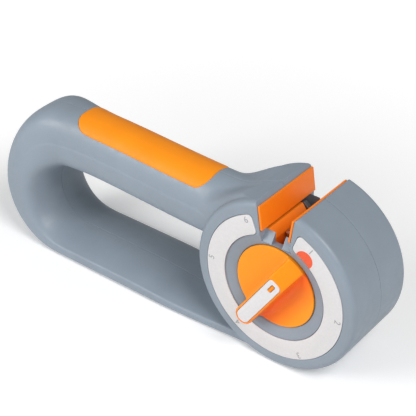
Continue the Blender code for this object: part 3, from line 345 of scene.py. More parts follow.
def finish(name, colour, variation, mottle, roughness, smudge, grain, bump, metallic=0, shine=0.5,
           depth=0.00004):
    # moulded or machined surface: slow colour drift, patches of gloss, and a fine grain as bump
    material, nodes, place = newMaterial(name)
    dark = tuple(c * (1 - variation) for c in colour) + (1,)
    light = tuple(min(1.0, c * (1 + variation)) for c in colour) + (1,)
    drift = remap(nodes, noise(nodes, mottle, 4, place), 0, 1)
    relief = feed(nodes.new("ShaderNodeBump"), {"Strength": bump, "Distance": depth,
                                                "Height": noise(nodes, grain, 3, place)})
    feed(nodes["Principled BSDF"], {
        "Base Color": colourMix(nodes, drift, dark, light), "Metallic": metallic, "Specular IOR Level": shine,
        "Roughness": remap(nodes, noise(nodes, smudge, 5, place), *roughness),
        "Normal": relief.outputs["Normal"]})
    return material


# for each look its slot and name, then colour, colour drift and its scale, roughness and its scale,
# and the grain's scale and strength; share of metal, shine and grain depth where they aren't the usual ones
looks = dict(
    housing=("housing_gray", "blueGrayHousing", (0.262, 0.314, 0.371), 0.035, 55, (0.38, 0.5), 300, 2400,
             0.25),
    knob=("orange_plastic", "orangeKnobPlastic", (1.0, 0.33, 0.012), 0.02, 80, (0.30, 0.38), 260, 2200, 0.1,
          0, 0.2),
    liner=("orange_plastic", "orangeLinerPlastic", (1.0, 0.24, 0.01), 0.03, 90, (0.32, 0.42), 300, 2200,
           0.12, 0, 0.35),
    grip=("grip_orange", "orangeSoftGrip", (1.0, 0.30, 0.008), 0.03, 70, (0.42, 0.55), 400, 1700, 0.35, 0,
          0.25),
    dial=("silver_plate", "silverDialPlate", (0.72, 0.705, 0.71), 0.02, 900, (0.38, 0.46), 1400, 5200, 0.06,
          0.1),
    inlay=("silver_plate", "silverInlayPlate", (0.76, 0.745, 0.755), 0.02, 900, (0.3, 0.38), 1200, 5200,
           0.06, 0.15),
    steel=("steel", "turnedSteel", (0.56, 0.56, 0.57), 0.06, 400, (0.22, 0.36), 900, 3600, 0.3, 1),
    carbide=("carbide", "groundCarbide", (0.33, 0.33, 0.35), 0.1, 700, (0.28, 0.42), 1400, 5200, 0.5, 1),
    diamond=("diamond_coat", "diamondGrit", (0.43, 0.43, 0.46), 0.3, 5200, (0.5, 0.8), 5200, 7000, 1.0, 0.6,
             0.5, 0.00012),
    ceramic=("ceramic", "whiteCeramic", (0.80, 0.79, 0.75), 0.04, 500, (0.4, 0.55), 1400, 5200, 0.35),
    honing=("ceramic", "grayHoningStone", (0.30, 0.33, 0.36), 0.12, 1400, (0.6, 0.78), 1800, 5200, 0.7),
    darkPlastic=("dark_plastic", "darkTurretPlastic", (0.075, 0.082, 0.095), 0.06, 120, (0.42, 0.55), 300,
                 2200, 0.3),
    turret=("orange_plastic", "orangeTurretPlastic", (1.0, 0.26, 0.012), 0.03, 90, (0.36, 0.46), 300, 2200,
            0.15),
    bearing=("bearing_plastic", "ivoryBearingPlastic", (0.72, 0.71, 0.65), 0.04, 150, (0.35, 0.45), 400,
             2600, 0.2),
    rubber=("sole_rubber", "blackSoleRubber", (0.03, 0.031, 0.034), 0.12, 200, (0.7, 0.85), 500, 1600, 0.8),
    markPrint=("orange_plastic", "redOrangePrint", (0.86, 0.105, 0.03), 0.06, 1500, (0.42, 0.55), 1800,
               5200, 0.2),
    digitPrint=("dark_plastic", "grayDialPrint", (0.36, 0.355, 0.36), 0.08, 1500, (0.45, 0.6), 1800, 5200,
                0.2),
)
finishes = {look: (slot, finish(*values)) for look, (slot, *values) in looks.items()}
print("finishes made")


def dress(piece, look, body, *stoodFor, smoothAngle=34):
    # gives a new piece its finish and body, and hides the frame nodes that it stands for
    slot, material = finishes[look]
    piece.data.materials.clear()
    piece.data.materials.append(material)
    piece.data.name = piece.name
    piece.data.shade_smooth()
    piece.data.set_sharp_from_angle(angle=math.radians(smoothAngle))
    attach(piece, body)
    if stoodFor:
        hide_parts(*stoodFor)
    return piece


# The housing: a field for the loop, a field for the drum, and a fillet between them

housing = dict(drumRadius=0.040, halfWidth=0.0197, rimRound=0.0026, reach=0.130, rearRadius=0.0309,
               lowRadius=0.0309, topHeight=0.0742, innerReach=0.1225, innerRadius=0.0180,
               baseThickness=0.0094, baseHalfWidth=0.0199, toeHalfWidth=0.0170, toeRun=0.070,
               toeDrop=0.0022, toeDropRun=0.045, handleThickness=0.0287, handleHalfWidth=0.0132,
               narrowingRun=0.021, narrowingStart=0.50, handleDrop=0.0032, handleDropRun=0.080,
               neckBefore=0.036, neckFlare=0.0042, flareRun=0.020, neckInside=0.002,
               underPower=6.0, basePower=2.0, rearPower=4.35, rearInnerPower=3.0, topPower=2.15,
               gripPower=3.3, powerBlend=0.004, leastHalf=0.002, ledge=0.0004, ledgeRun=0.0005,
               filletLow=0.0016, filletMiddle=0.0035, filletHigh=0.0125, filletFace=0.0012,
               middleStart=0.015, middleRun=0.020, highStart=0.044, highRun=0.018, asideStart=0.003,
               asideRun=0.010, fadeStart=0.0130, fadeEnd=0.0178, capStart=0.015, capRun=0.016, capRise=0.009,
               cell=0.00065, partingGap=0.00010, partingRound=0.00025, underside=0.0003, smoothAngle=50)
table = dict(cell=0.0004, border=0.006, beyondAxis=0.045, height=0.096, pointsAtOnce=20000)


def loopLines():
    # the loop's outer and inner edges as (x, z), with half width and corner powers at each station:
    # flat base, half ellipses round the rear, then the handle, which slopes down and flares into the drum
    h = housing
    loopX, innerX = axisX - h["reach"], axisX - h["innerReach"]
    neckX = axisX - h["neckBefore"]
    endX = neckX + h["flareRun"]
    underZ = h["topHeight"] - h["handleThickness"]
    holeZ = (h["baseThickness"] + underZ) / 2
    share = np.linspace(0, 1, 60, endpoint=False)
    baseX, baseInnerX = axisX + (loopX - axisX) * share, axisX + (innerX - axisX) * share
    toeDrop = h["toeDrop"] * smoothStep((baseInnerX - axisX + h["drumRadius"]) / h["toeDropRun"] + 1)
    turn = -math.pi / 2 - math.pi * np.linspace(0, 1, 110, endpoint=False)
    cosine, sine = np.cos(turn), np.sin(turn)
    upper = h["topHeight"] - h["lowRadius"]
    arcZ = h["lowRadius"] + np.where(sine > 0, upper, h["lowRadius"]) * sine
    share = np.linspace(0, 1, 70)
    handleX, handleInnerX = loopX + (endX - loopX) * share, innerX + (endX - innerX) * share

    def drop(x):
        return h["handleDrop"] * smoothStep((x - neckX) / h["handleDropRun"] + 1)

    flare = h["neckFlare"] * np.clip((handleX - neckX) / h["flareRun"], 0, None) ** 2
    outer = np.concatenate([np.stack([baseX, 0 * baseX], 1),
                            np.stack([loopX + h["rearRadius"] * cosine, arcZ], 1),
                            np.stack([handleX, h["topHeight"] - drop(handleX) + flare], 1)])
    inner = np.concatenate([np.stack([baseInnerX, h["baseThickness"] - toeDrop], 1),
                            np.stack([innerX + h["innerRadius"] * cosine, holeZ + (underZ - holeZ) * sine], 1),
                            np.stack([handleInnerX, underZ - drop(handleInnerX)], 1)])
    arcLength = math.pi * h["rearRadius"]
    run = np.concatenate([baseX * 0, (-math.pi / 2 - turn) * h["rearRadius"], arcLength + handleX - loopX])
    start = h["narrowingStart"] * arcLength
    narrowing = smoothStep((run - start) / (arcLength + h["narrowingRun"] - start))
    toRear = smoothStep(2 * run / arcLength)
    width = h["baseHalfWidth"] + (h["handleHalfWidth"] - h["baseHalfWidth"]) * narrowing
    toe = smoothStep((baseX - axisX + h["toeRun"]) / h["toeRun"])
    width[:len(baseX)] -= (h["baseHalfWidth"] - h["toeHalfWidth"]) * toe
    width[-len(handleX):] += flare
    outerPower = h["underPower"] + (h["rearPower"] - h["underPower"]) * toRear
    outerPower += (h["topPower"] - h["rearPower"]) * narrowing
    innerPower = h["basePower"] + (h["rearInnerPower"] - h["basePower"]) * toRear
    innerPower += (h["gripPower"] - h["rearInnerPower"]) * narrowing
    return outer, inner, width, outerPower, innerPower, narrowing


def lineDistance(x, z, line, side):
    # signed distance to a line of points, positive on its outer side, and the place along it
    start, step = line[:-1], line[1:] - line[:-1]
    length2 = np.maximum((step ** 2).sum(axis=1), 1e-16)
    distance, along = np.empty(len(x)), np.empty(len(x))
    for first in range(0, len(x), table["pointsAtOnce"]):
        part = slice(first, first + table["pointsAtOnce"])
        px, pz = x[part, None] - start[:, 0], z[part, None] - start[:, 1]
        share = np.clip((px * step[:, 0] + pz * step[:, 1]) / length2, 0, 1)
        gap2 = (px - share * step[:, 0]) ** 2 + (pz - share * step[:, 1]) ** 2
        best = gap2.argmin(axis=1)
        pick = np.arange(len(best))
        cross = step[best, 0] * pz[pick, best] - step[best, 1] * px[pick, best]
        distance[part] = np.sqrt(gap2[pick, best]) * np.sign(cross) * side
        along[part] = best + share[pick, best]
    return distance, along


def loopTables():
    # gaps to the two edges and the place along the loop, worked out once over a flat grid of (x, z)
    cell = table["cell"]
    low = np.array([axisX - housing["reach"] - housing["rearRadius"] - table["border"], -table["border"]])
    count = np.array([int((axisX + table["beyondAxis"] - low[0]) / cell), int(table["height"] / cell)])
    x, z = np.meshgrid(low[0] + cell * np.arange(count[0]), low[1] + cell * np.arange(count[1]), indexing="ij")
    x, z = x.ravel(), z.ravel()
    return low, count, [values.reshape(count) for values in (
        lineDistance(x, z, outerLine, 1)[0], lineDistance(x, z, innerLine, -1)[0],
        lineDistance(x, z, (outerLine + innerLine) / 2, 1)[1])]


outerLine, innerLine, stationWidth, stationOuter, stationInner, stationNarrow = loopLines()
tableLow, tableCount, (outerTable, innerTable, alongTable) = loopTables()
print("loop drawn in", len(outerLine), "stations")


def lookUp(values, x, z):
    # value between the table's points, by distance to the four nearest
    u = np.clip((x - tableLow[0]) / table["cell"], 0, tableCount[0] - 1.001)
    v = np.clip((z - tableLow[1]) / table["cell"], 0, tableCount[1] - 1.001)
    i, j = u.astype(int), v.astype(int)
    u, v = u - i, v - j
    return ((values[i, j] * (1 - u) + values[i + 1, j] * u) * (1 - v)
            + (values[i, j + 1] * (1 - u) + values[i + 1, j + 1] * u) * v)


def loopField(x, y, z):
    # rounded section between the edges: power n of the rise over the half thickness plus power n of the
    # width over the half width, less 1, over its slope, which makes it nearly a distance
    h = housing
    outerGap, innerGap = lookUp(outerTable, x, z), lookUp(innerTable, x, z)
    along = lookUp(alongTable, x, z)
    half = np.maximum(-(outerGap + innerGap) / 2, h["leastHalf"])
    lift = (outerGap - innerGap) / 2
    station = np.arange(len(stationWidth))
    width = np.interp(along, station, stationWidth)
    ledge = h["ledge"] * np.interp(along, station, stationNarrow)
    width = width - ledge * smoothStep(0.5 + lift / h["ledgeRun"])
    blend = smoothStep(0.5 + lift / h["powerBlend"])
    power = np.interp(along, station, stationInner)
    power = power + (np.interp(along, station, stationOuter) - power) * blend
    rise, across = np.abs(lift) / half, np.abs(y) / width
    size = np.maximum((rise ** power + across ** power) ** (1 / power), 1e-3)
    slope = np.hypot((rise / size) ** (power - 1) / half, (across / size) ** (power - 1) / width)
    body = (size - 1) / slope
    return np.maximum(body, x - (axisX - h["neckBefore"] + h["flareRun"] + h["neckInside"]))


def drumField(x, y, z):
    # distance to a flat cylinder with a rounded rim
    h = housing
    radius = np.hypot(x - axisX, z - axisZ) - (h["drumRadius"] - h["rimRound"])
    return roundedField(radius, np.abs(y) - (h["halfWidth"] - h["rimRound"]), h["rimRound"])


def housingField(x, y, z):
    # loop and drum joined by a fillet that is wide high up and away from the middle, and small near the
    # faces; before the notch it may rise over the drum by the square of the run, and a groove of a quarter
    # round's depth runs where the halves part
    h = housing
    up = smoothStep((z - h["highStart"]) / h["highRun"])
    aside = smoothStep((np.abs(y) - h["asideStart"]) / h["asideRun"])
    nearFace = 1 - smoothStep((np.abs(y) - h["fadeStart"]) / (h["fadeEnd"] - h["fadeStart"]))
    middle = smoothStep((z - h["middleStart"]) / h["middleRun"])
    low = h["filletLow"] + (h["filletMiddle"] - h["filletLow"]) * middle
    reach = h["filletFace"] + (low + (h["filletHigh"] - low) * up * aside - h["filletFace"]) * nearFace
    body = smoothMin(loopField(x, y, z), drumField(x, y, z), reach)
    before = axisX - h["capStart"] - x
    above = np.hypot(x - axisX, z - axisZ) - h["drumRadius"]
    cap = above - h["capRise"] * np.maximum(before / h["capRun"], 0) ** 2
    body = np.maximum(body, np.where(z > axisZ, cap, -1))
    near = np.clip(1 - np.abs(y) / h["partingRound"], 0, 1)
    return body + h["partingRound"] * (1 - np.sqrt(1 - near ** 2))


# Cutters of the housing

notch = dict(floorDrop=0.0006, floorHalf=0.0074, rimHalf=0.0096, chamfer=0.0028, slotHalf=0.0026,
             slotDrop=0.0003, rampDepth=0.0029, lip=0.0006, topRound=0.0005, roundShare=0.85,
             turretRadius=0.0254, grooveFloor=0.0205, facePlate=0.0048, rearWall=0.0028, overrun=0.004)
notch["floor"] = notch["turretRadius"] - notch["floorDrop"]


def cheekHalf(height):
    # half width of the notch, which grows evenly from its floor to the drum's rim
    share = (height - notch["floor"]) / (housing["drumRadius"] - notch["floor"])
    return notch["floorHalf"] + (notch["rimHalf"] - notch["floorHalf"]) * share


def notchSide(widen):
    # half outline of the notch: floor, cheek, chamfer, then an arc nearly tangent to the drum
    radius = housing["drumRadius"]
    chamferZ = radius - notch["chamfer"]
    chamferX = cheekHalf(chamferZ) + widen
    ball = notch["topRound"]
    across = np.array([math.sqrt(0.5), -math.sqrt(0.5)])  # from the chamfer's line into the cheek
    base = np.array([chamferX, chamferZ]) + ball * across
    along = np.array([math.sqrt(0.5), math.sqrt(0.5)])
    b = base @ along
    reach = -b + math.sqrt(b * b - base @ base + (radius - ball) ** 2)
    centre = base + along * reach
    startTurn = math.degrees(math.atan2(*(-across)[::-1]))
    endTurn = math.degrees(math.atan2(centre[1], centre[0]))
    rounding = arc(ball, startTurn, startTurn + (endTurn - startTurn) * notch["roundShare"], centre, 6)
    outward = rounding[-1] / np.linalg.norm(rounding[-1]) * (radius + notch["overrun"])
    return np.concatenate([[[cheekHalf(notch["floor"]) + widen, notch["floor"]], [chamferX, chamferZ]],
                           rounding, [outward]])


def notchCutter():
    # the notch's outline along Y, widened in a quarter round at both faces of the drum
    face = housing["halfWidth"]
    depth, widen = quarterRound(notch["lip"], 6)
    ends = face + notch["overrun"]
    places = np.concatenate([[-ends], depth - face, (face - depth)[::-1], [ends]])
    widths = np.concatenate([[notch["lip"]], widen, widen[::-1], [notch["lip"]]])
    sides = [notchSide(width) for width in widths]
    rows = [atDepth(np.concatenate([side, (side * [-1, 1])[::-1]]), y) for side, y in zip(sides, places)]
    return placed(rowsPiece("notchCutter", np.array(rows)))


def slotCutters():
    # the blade's slot under the notch, and the sloping lead-in at each face
    face, over = housing["halfWidth"], notch["overrun"]
    slotFloor = notch["grooveFloor"] - notch["slotDrop"]
    half = notch["slotHalf"]
    slot = np.array([[-half, slotFloor], [half, slotFloor], [half, notch["floor"] + over],
                     [-half, notch["floor"] + over]])
    cutters = [placed(extruded("slot", slot, -face - over, face + over))]
    halfFloor = cheekHalf(notch["floor"])
    for side, inner in ((-1, face - notch["facePlate"]), (1, face - notch["rearWall"])):
        start = inner + notch["rampDepth"]
        outline = np.array([[start, slotFloor], [face + over, slotFloor], [face + over, notch["floor"] + over],
                            [inner, notch["floor"] + over], [inner, notch["floor"]]])
        rows = np.array([[(x, side * y, z) for y, z in outline] for x in (-halfFloor, halfFloor)])
        cutters.append(placed(rowsPiece("ramp", rows)))
    return cutters


dial = dict(outer=0.0342, inner=0.0251, thickness=0.0010, proud=0.0001, corner=0.0022, opening=20.0,
            gap=0.00022, groove=0.0012, lip=0.00018, edge=0.00018)


def dialOutline(clearance):
    # ring open at the top, with a rounded corner at each of its four ends, as (x, z) about the axis
    outer, inner, corner = dial["outer"] + clearance, dial["inner"] - clearance, dial["corner"]
    gapTurn = math.degrees(clearance / dial["outer"])
    right, left = 90 - dial["opening"] + gapTurn, 90 + dial["opening"] - gapTurn - 360
    outerTurn = math.degrees(math.asin(corner / (outer - corner)))
    innerTurn = math.degrees(math.asin(corner / (inner + corner)))

    def bend(radius, angle, start, end):
        centre = (radius * math.cos(math.radians(angle)), radius * math.sin(math.radians(angle)))
        return arc(corner, start, end, centre, 7)

    return np.concatenate([
        arc(outer, left + outerTurn, right - outerTurn, steps=150),
        bend(outer - corner, right - outerTurn, right - outerTurn, right + 90)[1:],
        bend(inner + corner, right - innerTurn, right + 90, right - innerTurn + 180),
        arc(inner, right - innerTurn, left + innerTurn, steps=120)[1:],
        bend(inner + corner, left + innerTurn, left + innerTurn + 180, left + 270)[1:],
        bend(outer - corner, left + outerTurn, left + 270, left + outerTurn + 360)[:-1]])


def dialGroove():
    # the ring's outline with a gap round it, sunk into the front face behind a quarter-round lip
    face, lip, gap = -housing["halfWidth"], dial["lip"], dial["gap"]
    depths = [(gap + lip, face - notch["overrun"])]
    depths += [(gap + widen, face + depth) for depth, widen in zip(*quarterRound(lip, 4))]
    depths.append((gap, face + dial["groove"]))
    return placed(rowsPiece("dialGroove", lippedRows(dialOutline, depths)))


knob = dict(radius=0.0194, setback=0.0013, edgeThickness=0.0011, backSpare=0.00015, edge=0.00035,
            barHalf=0.0042, barHeight=0.0063, barReach=0.0231, barInner=0.0116, barEdge=0.0009,
            rampEdge=0.0014, underClear=0.0004, turn=236.3, filletFlat=0.0018, filletScoop=0.0058,
            scoopStart=0.002, fadeRun=0.0085, scoopDepth=0.00055, scoopRadius=0.060, scoopOffset=0.0112,
            scoopStretch=1.5, scoopEdge=0.0004, shaftRadius=0.0060, hexRadius=0.00585, hexLength=0.0036,
            cell=0.0003, inlayRim=0.0009, inlayDepth=0.0011, inlayCorner=0.0022, inlayGap=0.00015,
            inlaySunk=0.0001, inlayThick=0.0007, inlayEdge=0.00015, inlayLip=0.00022, markerLength=0.0040,
            markerWidth=0.0013, markerCorner=0.55, markerFromEnd=0.0045, markerGap=0.0003, slotAbove=0.001,
            slotBelow=0.002, headHole=0.0032, headDepth=0.0023, headAbove=0.0002, shankHole=0.0018)
pocket = dict(depth=0.0027, gap=0.00025, bend=0.00035, dishLip=0.0005, dishDepth=0.0020, dishSlope=0.00008,
              ringInset=0.0003, ringLip=0.00025, ringSwing=(0.2, 1.35), chamber=0.0262, frontBush=0.0087,
              rearBush=0.0052, bushGap=0.0003, hubCap=0.0087, hubCapGap=0.0002, hubCapDepth=0.0010,
              hubCapLip=0.0003)


def faceCutters():
    # dished ring and knob pocket in the front, bores, chamber, and the hub cap's pocket in the rear
    face, p = housing["halfWidth"], pocket
    lip = p["ringLip"]
    ringRadius, ringY = dial["inner"] - p["ringInset"], p["dishLip"] - face - lip
    wall, dishY, bend = knob["radius"] + p["gap"], p["dishDepth"] - face, p["bend"]
    front = [(ringRadius, -face - notch["overrun"]), (ringRadius, ringY)]
    front += [(ringRadius - lip + lip * math.cos(t), ringY + lip * math.sin(t))
              for t in np.linspace(*p["ringSwing"], 4)]
    front += [(wall + bend, dishY - p["dishSlope"]), (wall + bend * 0.3, dishY + bend * 0.3),
              (wall, dishY + bend), (wall, p["depth"] - face)]
    chamber = [(p["chamber"], notch["facePlate"] - face), (p["chamber"], face - notch["rearWall"])]
    cutters = [placed(turned("facePocket", front, 160)), placed(turned("chamber", chamber, 96))]
    for name, bush, low, high in (("frontBore", "frontBush", -face, 0), ("rearBore", "rearBush", 0, face)):
        radius = p[bush] + p["bushGap"]
        cutters.append(placed(turned(name, [(radius, low), (radius, high)])))
    radius, lip = p["hubCap"] + p["hubCapGap"], p["hubCapLip"]
    rear = [(radius + lip, face + notch["overrun"])]
    rear += [(radius + widen, face - depth) for depth, widen in zip(*quarterRound(lip, 6))]
    rear.append((radius, face - p["hubCapDepth"]))
    return cutters + [placed(turned("hubPocket", rear, 96))]


screws = dict(headRadius=0.0028, headThickness=0.0018, shankRadius=0.0013, length=0.0200, gap=0.0003)


def screwCutters():
    # stepped hole for each housing screw, at the middle of its frame node's box and below its head
    cutters = []
    for number in range(1, 7):
        low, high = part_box("shell_screw_" + str(number))
        radius, gap = screws["headRadius"] + screws["gap"], screws["gap"]
        seat = high[1] - screws["headThickness"] - gap
        shank = screws["shankRadius"] + gap
        profile = [(radius, housing["halfWidth"] + notch["overrun"]), (radius, seat), (shank, seat),
                   (shank, seat - screws["length"])]
        cutters.append(placed(turned("screwHole", profile, 40), (low[0] + high[0]) / 2, (low[2] + high[2]) / 2))
    return cutters


pad = dict(thickness=0.0016, proud=0.0003, before=0.0430, length=0.0760, halfWidth=0.0104, corner=0.0062,
           gap=0.00012, rim=0.0006, floorGap=0.0002, innerShare=0.9, spine=(0.86, 0.02),
           rings=(0.0098, 0.008, 0.006, 0.0045, 0.003, 0.0015), above=0.006)


def crownHeight(x, y, above=0.004, longest=0.001, share=0.8):
    # height of the loop's upper surface over (x, y), found by stepping down the field
    z = np.full_like(x, housing["topHeight"] + above)
    for _ in range(40):
        z = z - np.clip(loopField(x, y, z), -longest, longest) * share
    return z


def padRing(inset):
    # pad's outline drawn in by the inset; beyond the corners' size it shrinks toward a short spine
    middle = np.array([axisX - pad["before"] - pad["length"] / 2, 0.0])
    least = pad["corner"] * pad["innerShare"]
    drawn = min(inset, least)
    edge = roundedRectangle(pad["length"] / 2 - drawn, pad["halfWidth"] - drawn, pad["corner"] - drawn, 14)
    edge = edge + middle
    if inset < least:
        return edge
    share = (pad["halfWidth"] - inset) / (pad["halfWidth"] - least)
    spine = middle + (edge - middle) * pad["spine"]
    return spine + (edge - spine) * share


def padRecess():
    # rings at one depth under the loop's crown, from the middle out, then straight up
    rows = []
    for inset in (*pad["rings"], -pad["gap"]):
        x, y = padRing(inset).T
        rows.append(np.stack([x, y, crownHeight(x, y) + (-pad["thickness"] - pad["floorGap"])], axis=1))
    top = rows[-1].copy()
    top[:, 2] = housing["topHeight"] + pad["above"]
    return rowsPiece("padRecess", np.array([*rows, top]))


sole = dict(margin=0.0015, halfWidth=0.0135, corner=0.0060, thickness=0.0012, gap=0.0003, rim=0.0012,
            ribDepth=0.0003, ribPitch=0.0030, below=0.004)


def soleRecess():
    # rounded rectangle with a gap round the pad, drawn along Z
    gap = sole["gap"]
    flat = roundedRectangle(axisX - sole["margin"] + gap, sole["halfWidth"] + gap, sole["corner"] + gap, 12)
    rows = [np.stack([flat[:, 0], flat[:, 1], np.full(len(flat), z)], axis=1)
            for z in (-sole["below"], sole["thickness"] + gap)]
    return rowsPiece("soleRecess", np.array(rows))


def housingPieces():
    # the field as one mesh, parted into two halves, and each half cut on its own
    h, cell = housing, housing["cell"]
    margin = 3 * cell
    seamLines = h["partingRound"] * np.array([-2, -1.4, -0.9, -0.5, -0.2, 0.2, 0.5, 0.9, 1.4, 2])
    front = fieldPiece("front_housing", housingField, (
        gridLines(axisX - h["reach"] - h["rearRadius"] - margin, axisX + h["drumRadius"] + margin, cell),
        gridLines(-h["baseHalfWidth"] - margin, h["baseHalfWidth"] + margin, cell, seamLines),
        gridLines(-margin, 2 * h["drumRadius"] + margin, cell)))
    print("housing surface", len(front.data.polygons), "faces")
    halve(front, (0, 0, h["underside"]), (0, 0, -1))
    rear = linked(front.copy())
    rear.data = front.data.copy()
    rear.name = "rear_housing"
    for half, side, shell in ((front, -1, "front_shell"), (rear, 1, "rear_shell")):
        halve(half, (0, side * h["partingGap"] / 2, 0), (0, -side, 0))
        combine(half, [notchCutter(), *slotCutters(), dialGroove(), *faceCutters(), *screwCutters(),
                       padRecess(), soleRecess()])
        dress(half, "housing", "housing", shell, smoothAngle=h["smoothAngle"])
        print(half.name, "cut,", len(half.data.polygons), "faces")


housingPieces()


# Soft grip and sole: grids bounded by a rounded rectangle, closed by their undersides

def edgeDistance(x, y, halfX, halfY, corner):
    # depth of a point inside a rounded rectangle
    across = np.abs(x) - (halfX - corner)
    aside = np.abs(y) - (halfY - corner)
    outside = np.hypot(np.maximum(across, 0), np.maximum(aside, 0))
    return corner - outside - np.minimum(np.maximum(across, aside), 0)


def sheetGrid(halfX, halfY, corner, columns, rows):
    # columns across a rounded rectangle, closer together at its ends, and rows closer at its sides
    x = halfX * np.sin(np.linspace(-math.pi / 2, math.pi / 2, columns))
    over = np.clip(np.abs(x) - (halfX - corner), 0, corner)
    reach = halfY - corner + np.sqrt(np.maximum(corner ** 2 - over ** 2, 0))
    share = np.sin(np.linspace(-math.pi / 2, math.pi / 2, rows))
    return np.repeat(x[:, None], rows, axis=1), reach[:, None] * share


def slabPiece(name, x, y, top, bottom):
    # closed solid from two heights over one grid
    columns, rows = x.shape
    number = np.arange(columns * rows).reshape(columns, rows)
    corners = [number[:-1, :-1], number[1:, :-1], number[1:, 1:], number[:-1, 1:]]
    upper = np.stack(corners, axis=-1).reshape(-1, 4)
    ring = np.concatenate([number[:-1, 0], number[-1, :-1], number[:0:-1, -1], number[0, :0:-1]])
    following = np.roll(ring, -1)
    under = number.size
    sides = np.stack([ring + under, following + under, following, ring], axis=1)
    points = np.concatenate([np.stack([x, y, top], axis=-1).reshape(-1, 3),
                             np.stack([x, y, bottom], axis=-1).reshape(-1, 3)])
    return faceOut(meshPiece(name, points, [upper, upper[:, ::-1] + under, sides]))


def gripPiece():
    # follows the handle's crown, stands a little proud of it, and rolls over at its rim
    halfX, halfY = pad["length"] / 2, pad["halfWidth"]
    x, y = sheetGrid(halfX, halfY, pad["corner"], 150, 50)
    depth = edgeDistance(x, y, halfX, halfY, pad["corner"])
    rim = np.clip(1 - depth / pad["rim"], 0, 1)
    roll = pad["rim"] * (1 - np.sqrt(1 - rim ** 2))
    x = x + axisX - pad["before"] - halfX
    crown = crownHeight(x, y)
    return slabPiece("soft_grip", x, y, crown + pad["proud"] - roll, crown - pad["thickness"])


def solePiece():
    # flat pad with fine ribs across its underside, half a cosine wave each, which fade out at its rim
    low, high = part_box("sole_pad")
    halfX, halfY = (high[0] - low[0]) / 2, (high[1] - low[1]) / 2
    x, y = sheetGrid(halfX, halfY, sole["corner"], 420, 26)
    depth = edgeDistance(x, y, halfX, halfY, sole["corner"])
    rib = sole["ribDepth"] * (0.5 - 0.5 * np.cos(2 * math.pi * x / sole["ribPitch"]))
    rib = rib * smoothStep((depth - sole["rim"]) / sole["rim"])
    x = x + (low[0] + high[0]) / 2
    return slabPiece("ribbed_sole", x, y, np.full_like(x, high[2]), low[2] + rib)


dress(gripPiece(), "grip", "housing", "grip_pad")
dress(solePiece(), "rubber", "housing", "sole_pad")
print("grip and sole made")


# Dial ring with its print

printing = dict(digitRadius=0.0319, digitHeight=0.0042, thickness=0.00003, firstTurn=56.3, stationStep=60.0,
                markTurn=55.5, markHalfWidth=0.0040, markHeight=0.0048, markInset=0.0002)


def dialPiece():
    # the ring's outline along Y, drawn in by a quarter round at its front edge
    front, edge = spanY("dial_ring")[0], dial["edge"]
    depths = [(0, front + dial["thickness"])]
    depths += [(-edge + edge * math.cos(t), front + edge - edge * math.sin(t))
               for t in np.linspace(0, math.pi / 2, 4)]
    return placed(rowsPiece("dial_plate", lippedRows(dialOutline, depths)))


def digitPieces():
    # one number for each station, its foot toward the axis
    front = spanY("dial_ring")[0]
    for station in range(6):
        label = bpy.data.curves.new("digit", "FONT")
        label.body = str(station + 1)
        label.align_x = "CENTER"
        label.align_y = "CENTER"
        label.size = printing["digitHeight"]
        label.extrude = printing["thickness"]
        label.resolution_u = 6
        carrier = linked(bpy.data.objects.new("digit", label))
        bpy.context.view_layer.update()
        mesh = bpy.data.meshes.new_from_object(carrier.evaluated_get(bpy.context.evaluated_depsgraph_get()))
        bpy.data.objects.remove(carrier, do_unlink=True)
        turn = math.radians(printing["firstTurn"] - printing["stationStep"] * station)
        c, s = math.cos(turn), math.sin(turn)
        radius = printing["digitRadius"]
        mesh.transform(Matrix(((s, c, 0, axisX + radius * c), (0, 0, -1, front),
                               (-c, s, 0, axisZ + radius * s), (0, 0, 0, 1))))
        dress(linked(bpy.data.objects.new("dial_digit_" + str(station + 1), mesh)), "digitPrint", "housing")


def markPiece():
    # half ellipse bent round the ring's inner edge
    front, thick = spanY("dial_ring")[0], printing["thickness"]
    swing = np.linspace(0, math.pi, 40)
    start = dial["inner"] + printing["markInset"]
    halfTurn, middle = printing["markHalfWidth"] / start, math.radians(printing["markTurn"])
    radius = start + printing["markHeight"] * np.sin(swing)
    turn = middle + halfTurn * np.cos(swing)
    edge = np.linspace(-1, 1, 14)[1:-1] * halfTurn + middle
    radius = np.concatenate([radius, np.full(len(edge), start)])
    turn = np.concatenate([turn, edge])
    outline = np.stack([radius * np.cos(turn), radius * np.sin(turn)], axis=1)
    return placed(extruded("dial_mark", outline, front - thick, front + thick))


dress(dialPiece(), "dial", "housing", "dial_ring")
dress(markPiece(), "markPrint", "housing")
digitPieces()
print("dial made")


# Knob: disc, bar and shaft as one field, drawn with the pointer along +X and turned afterwards

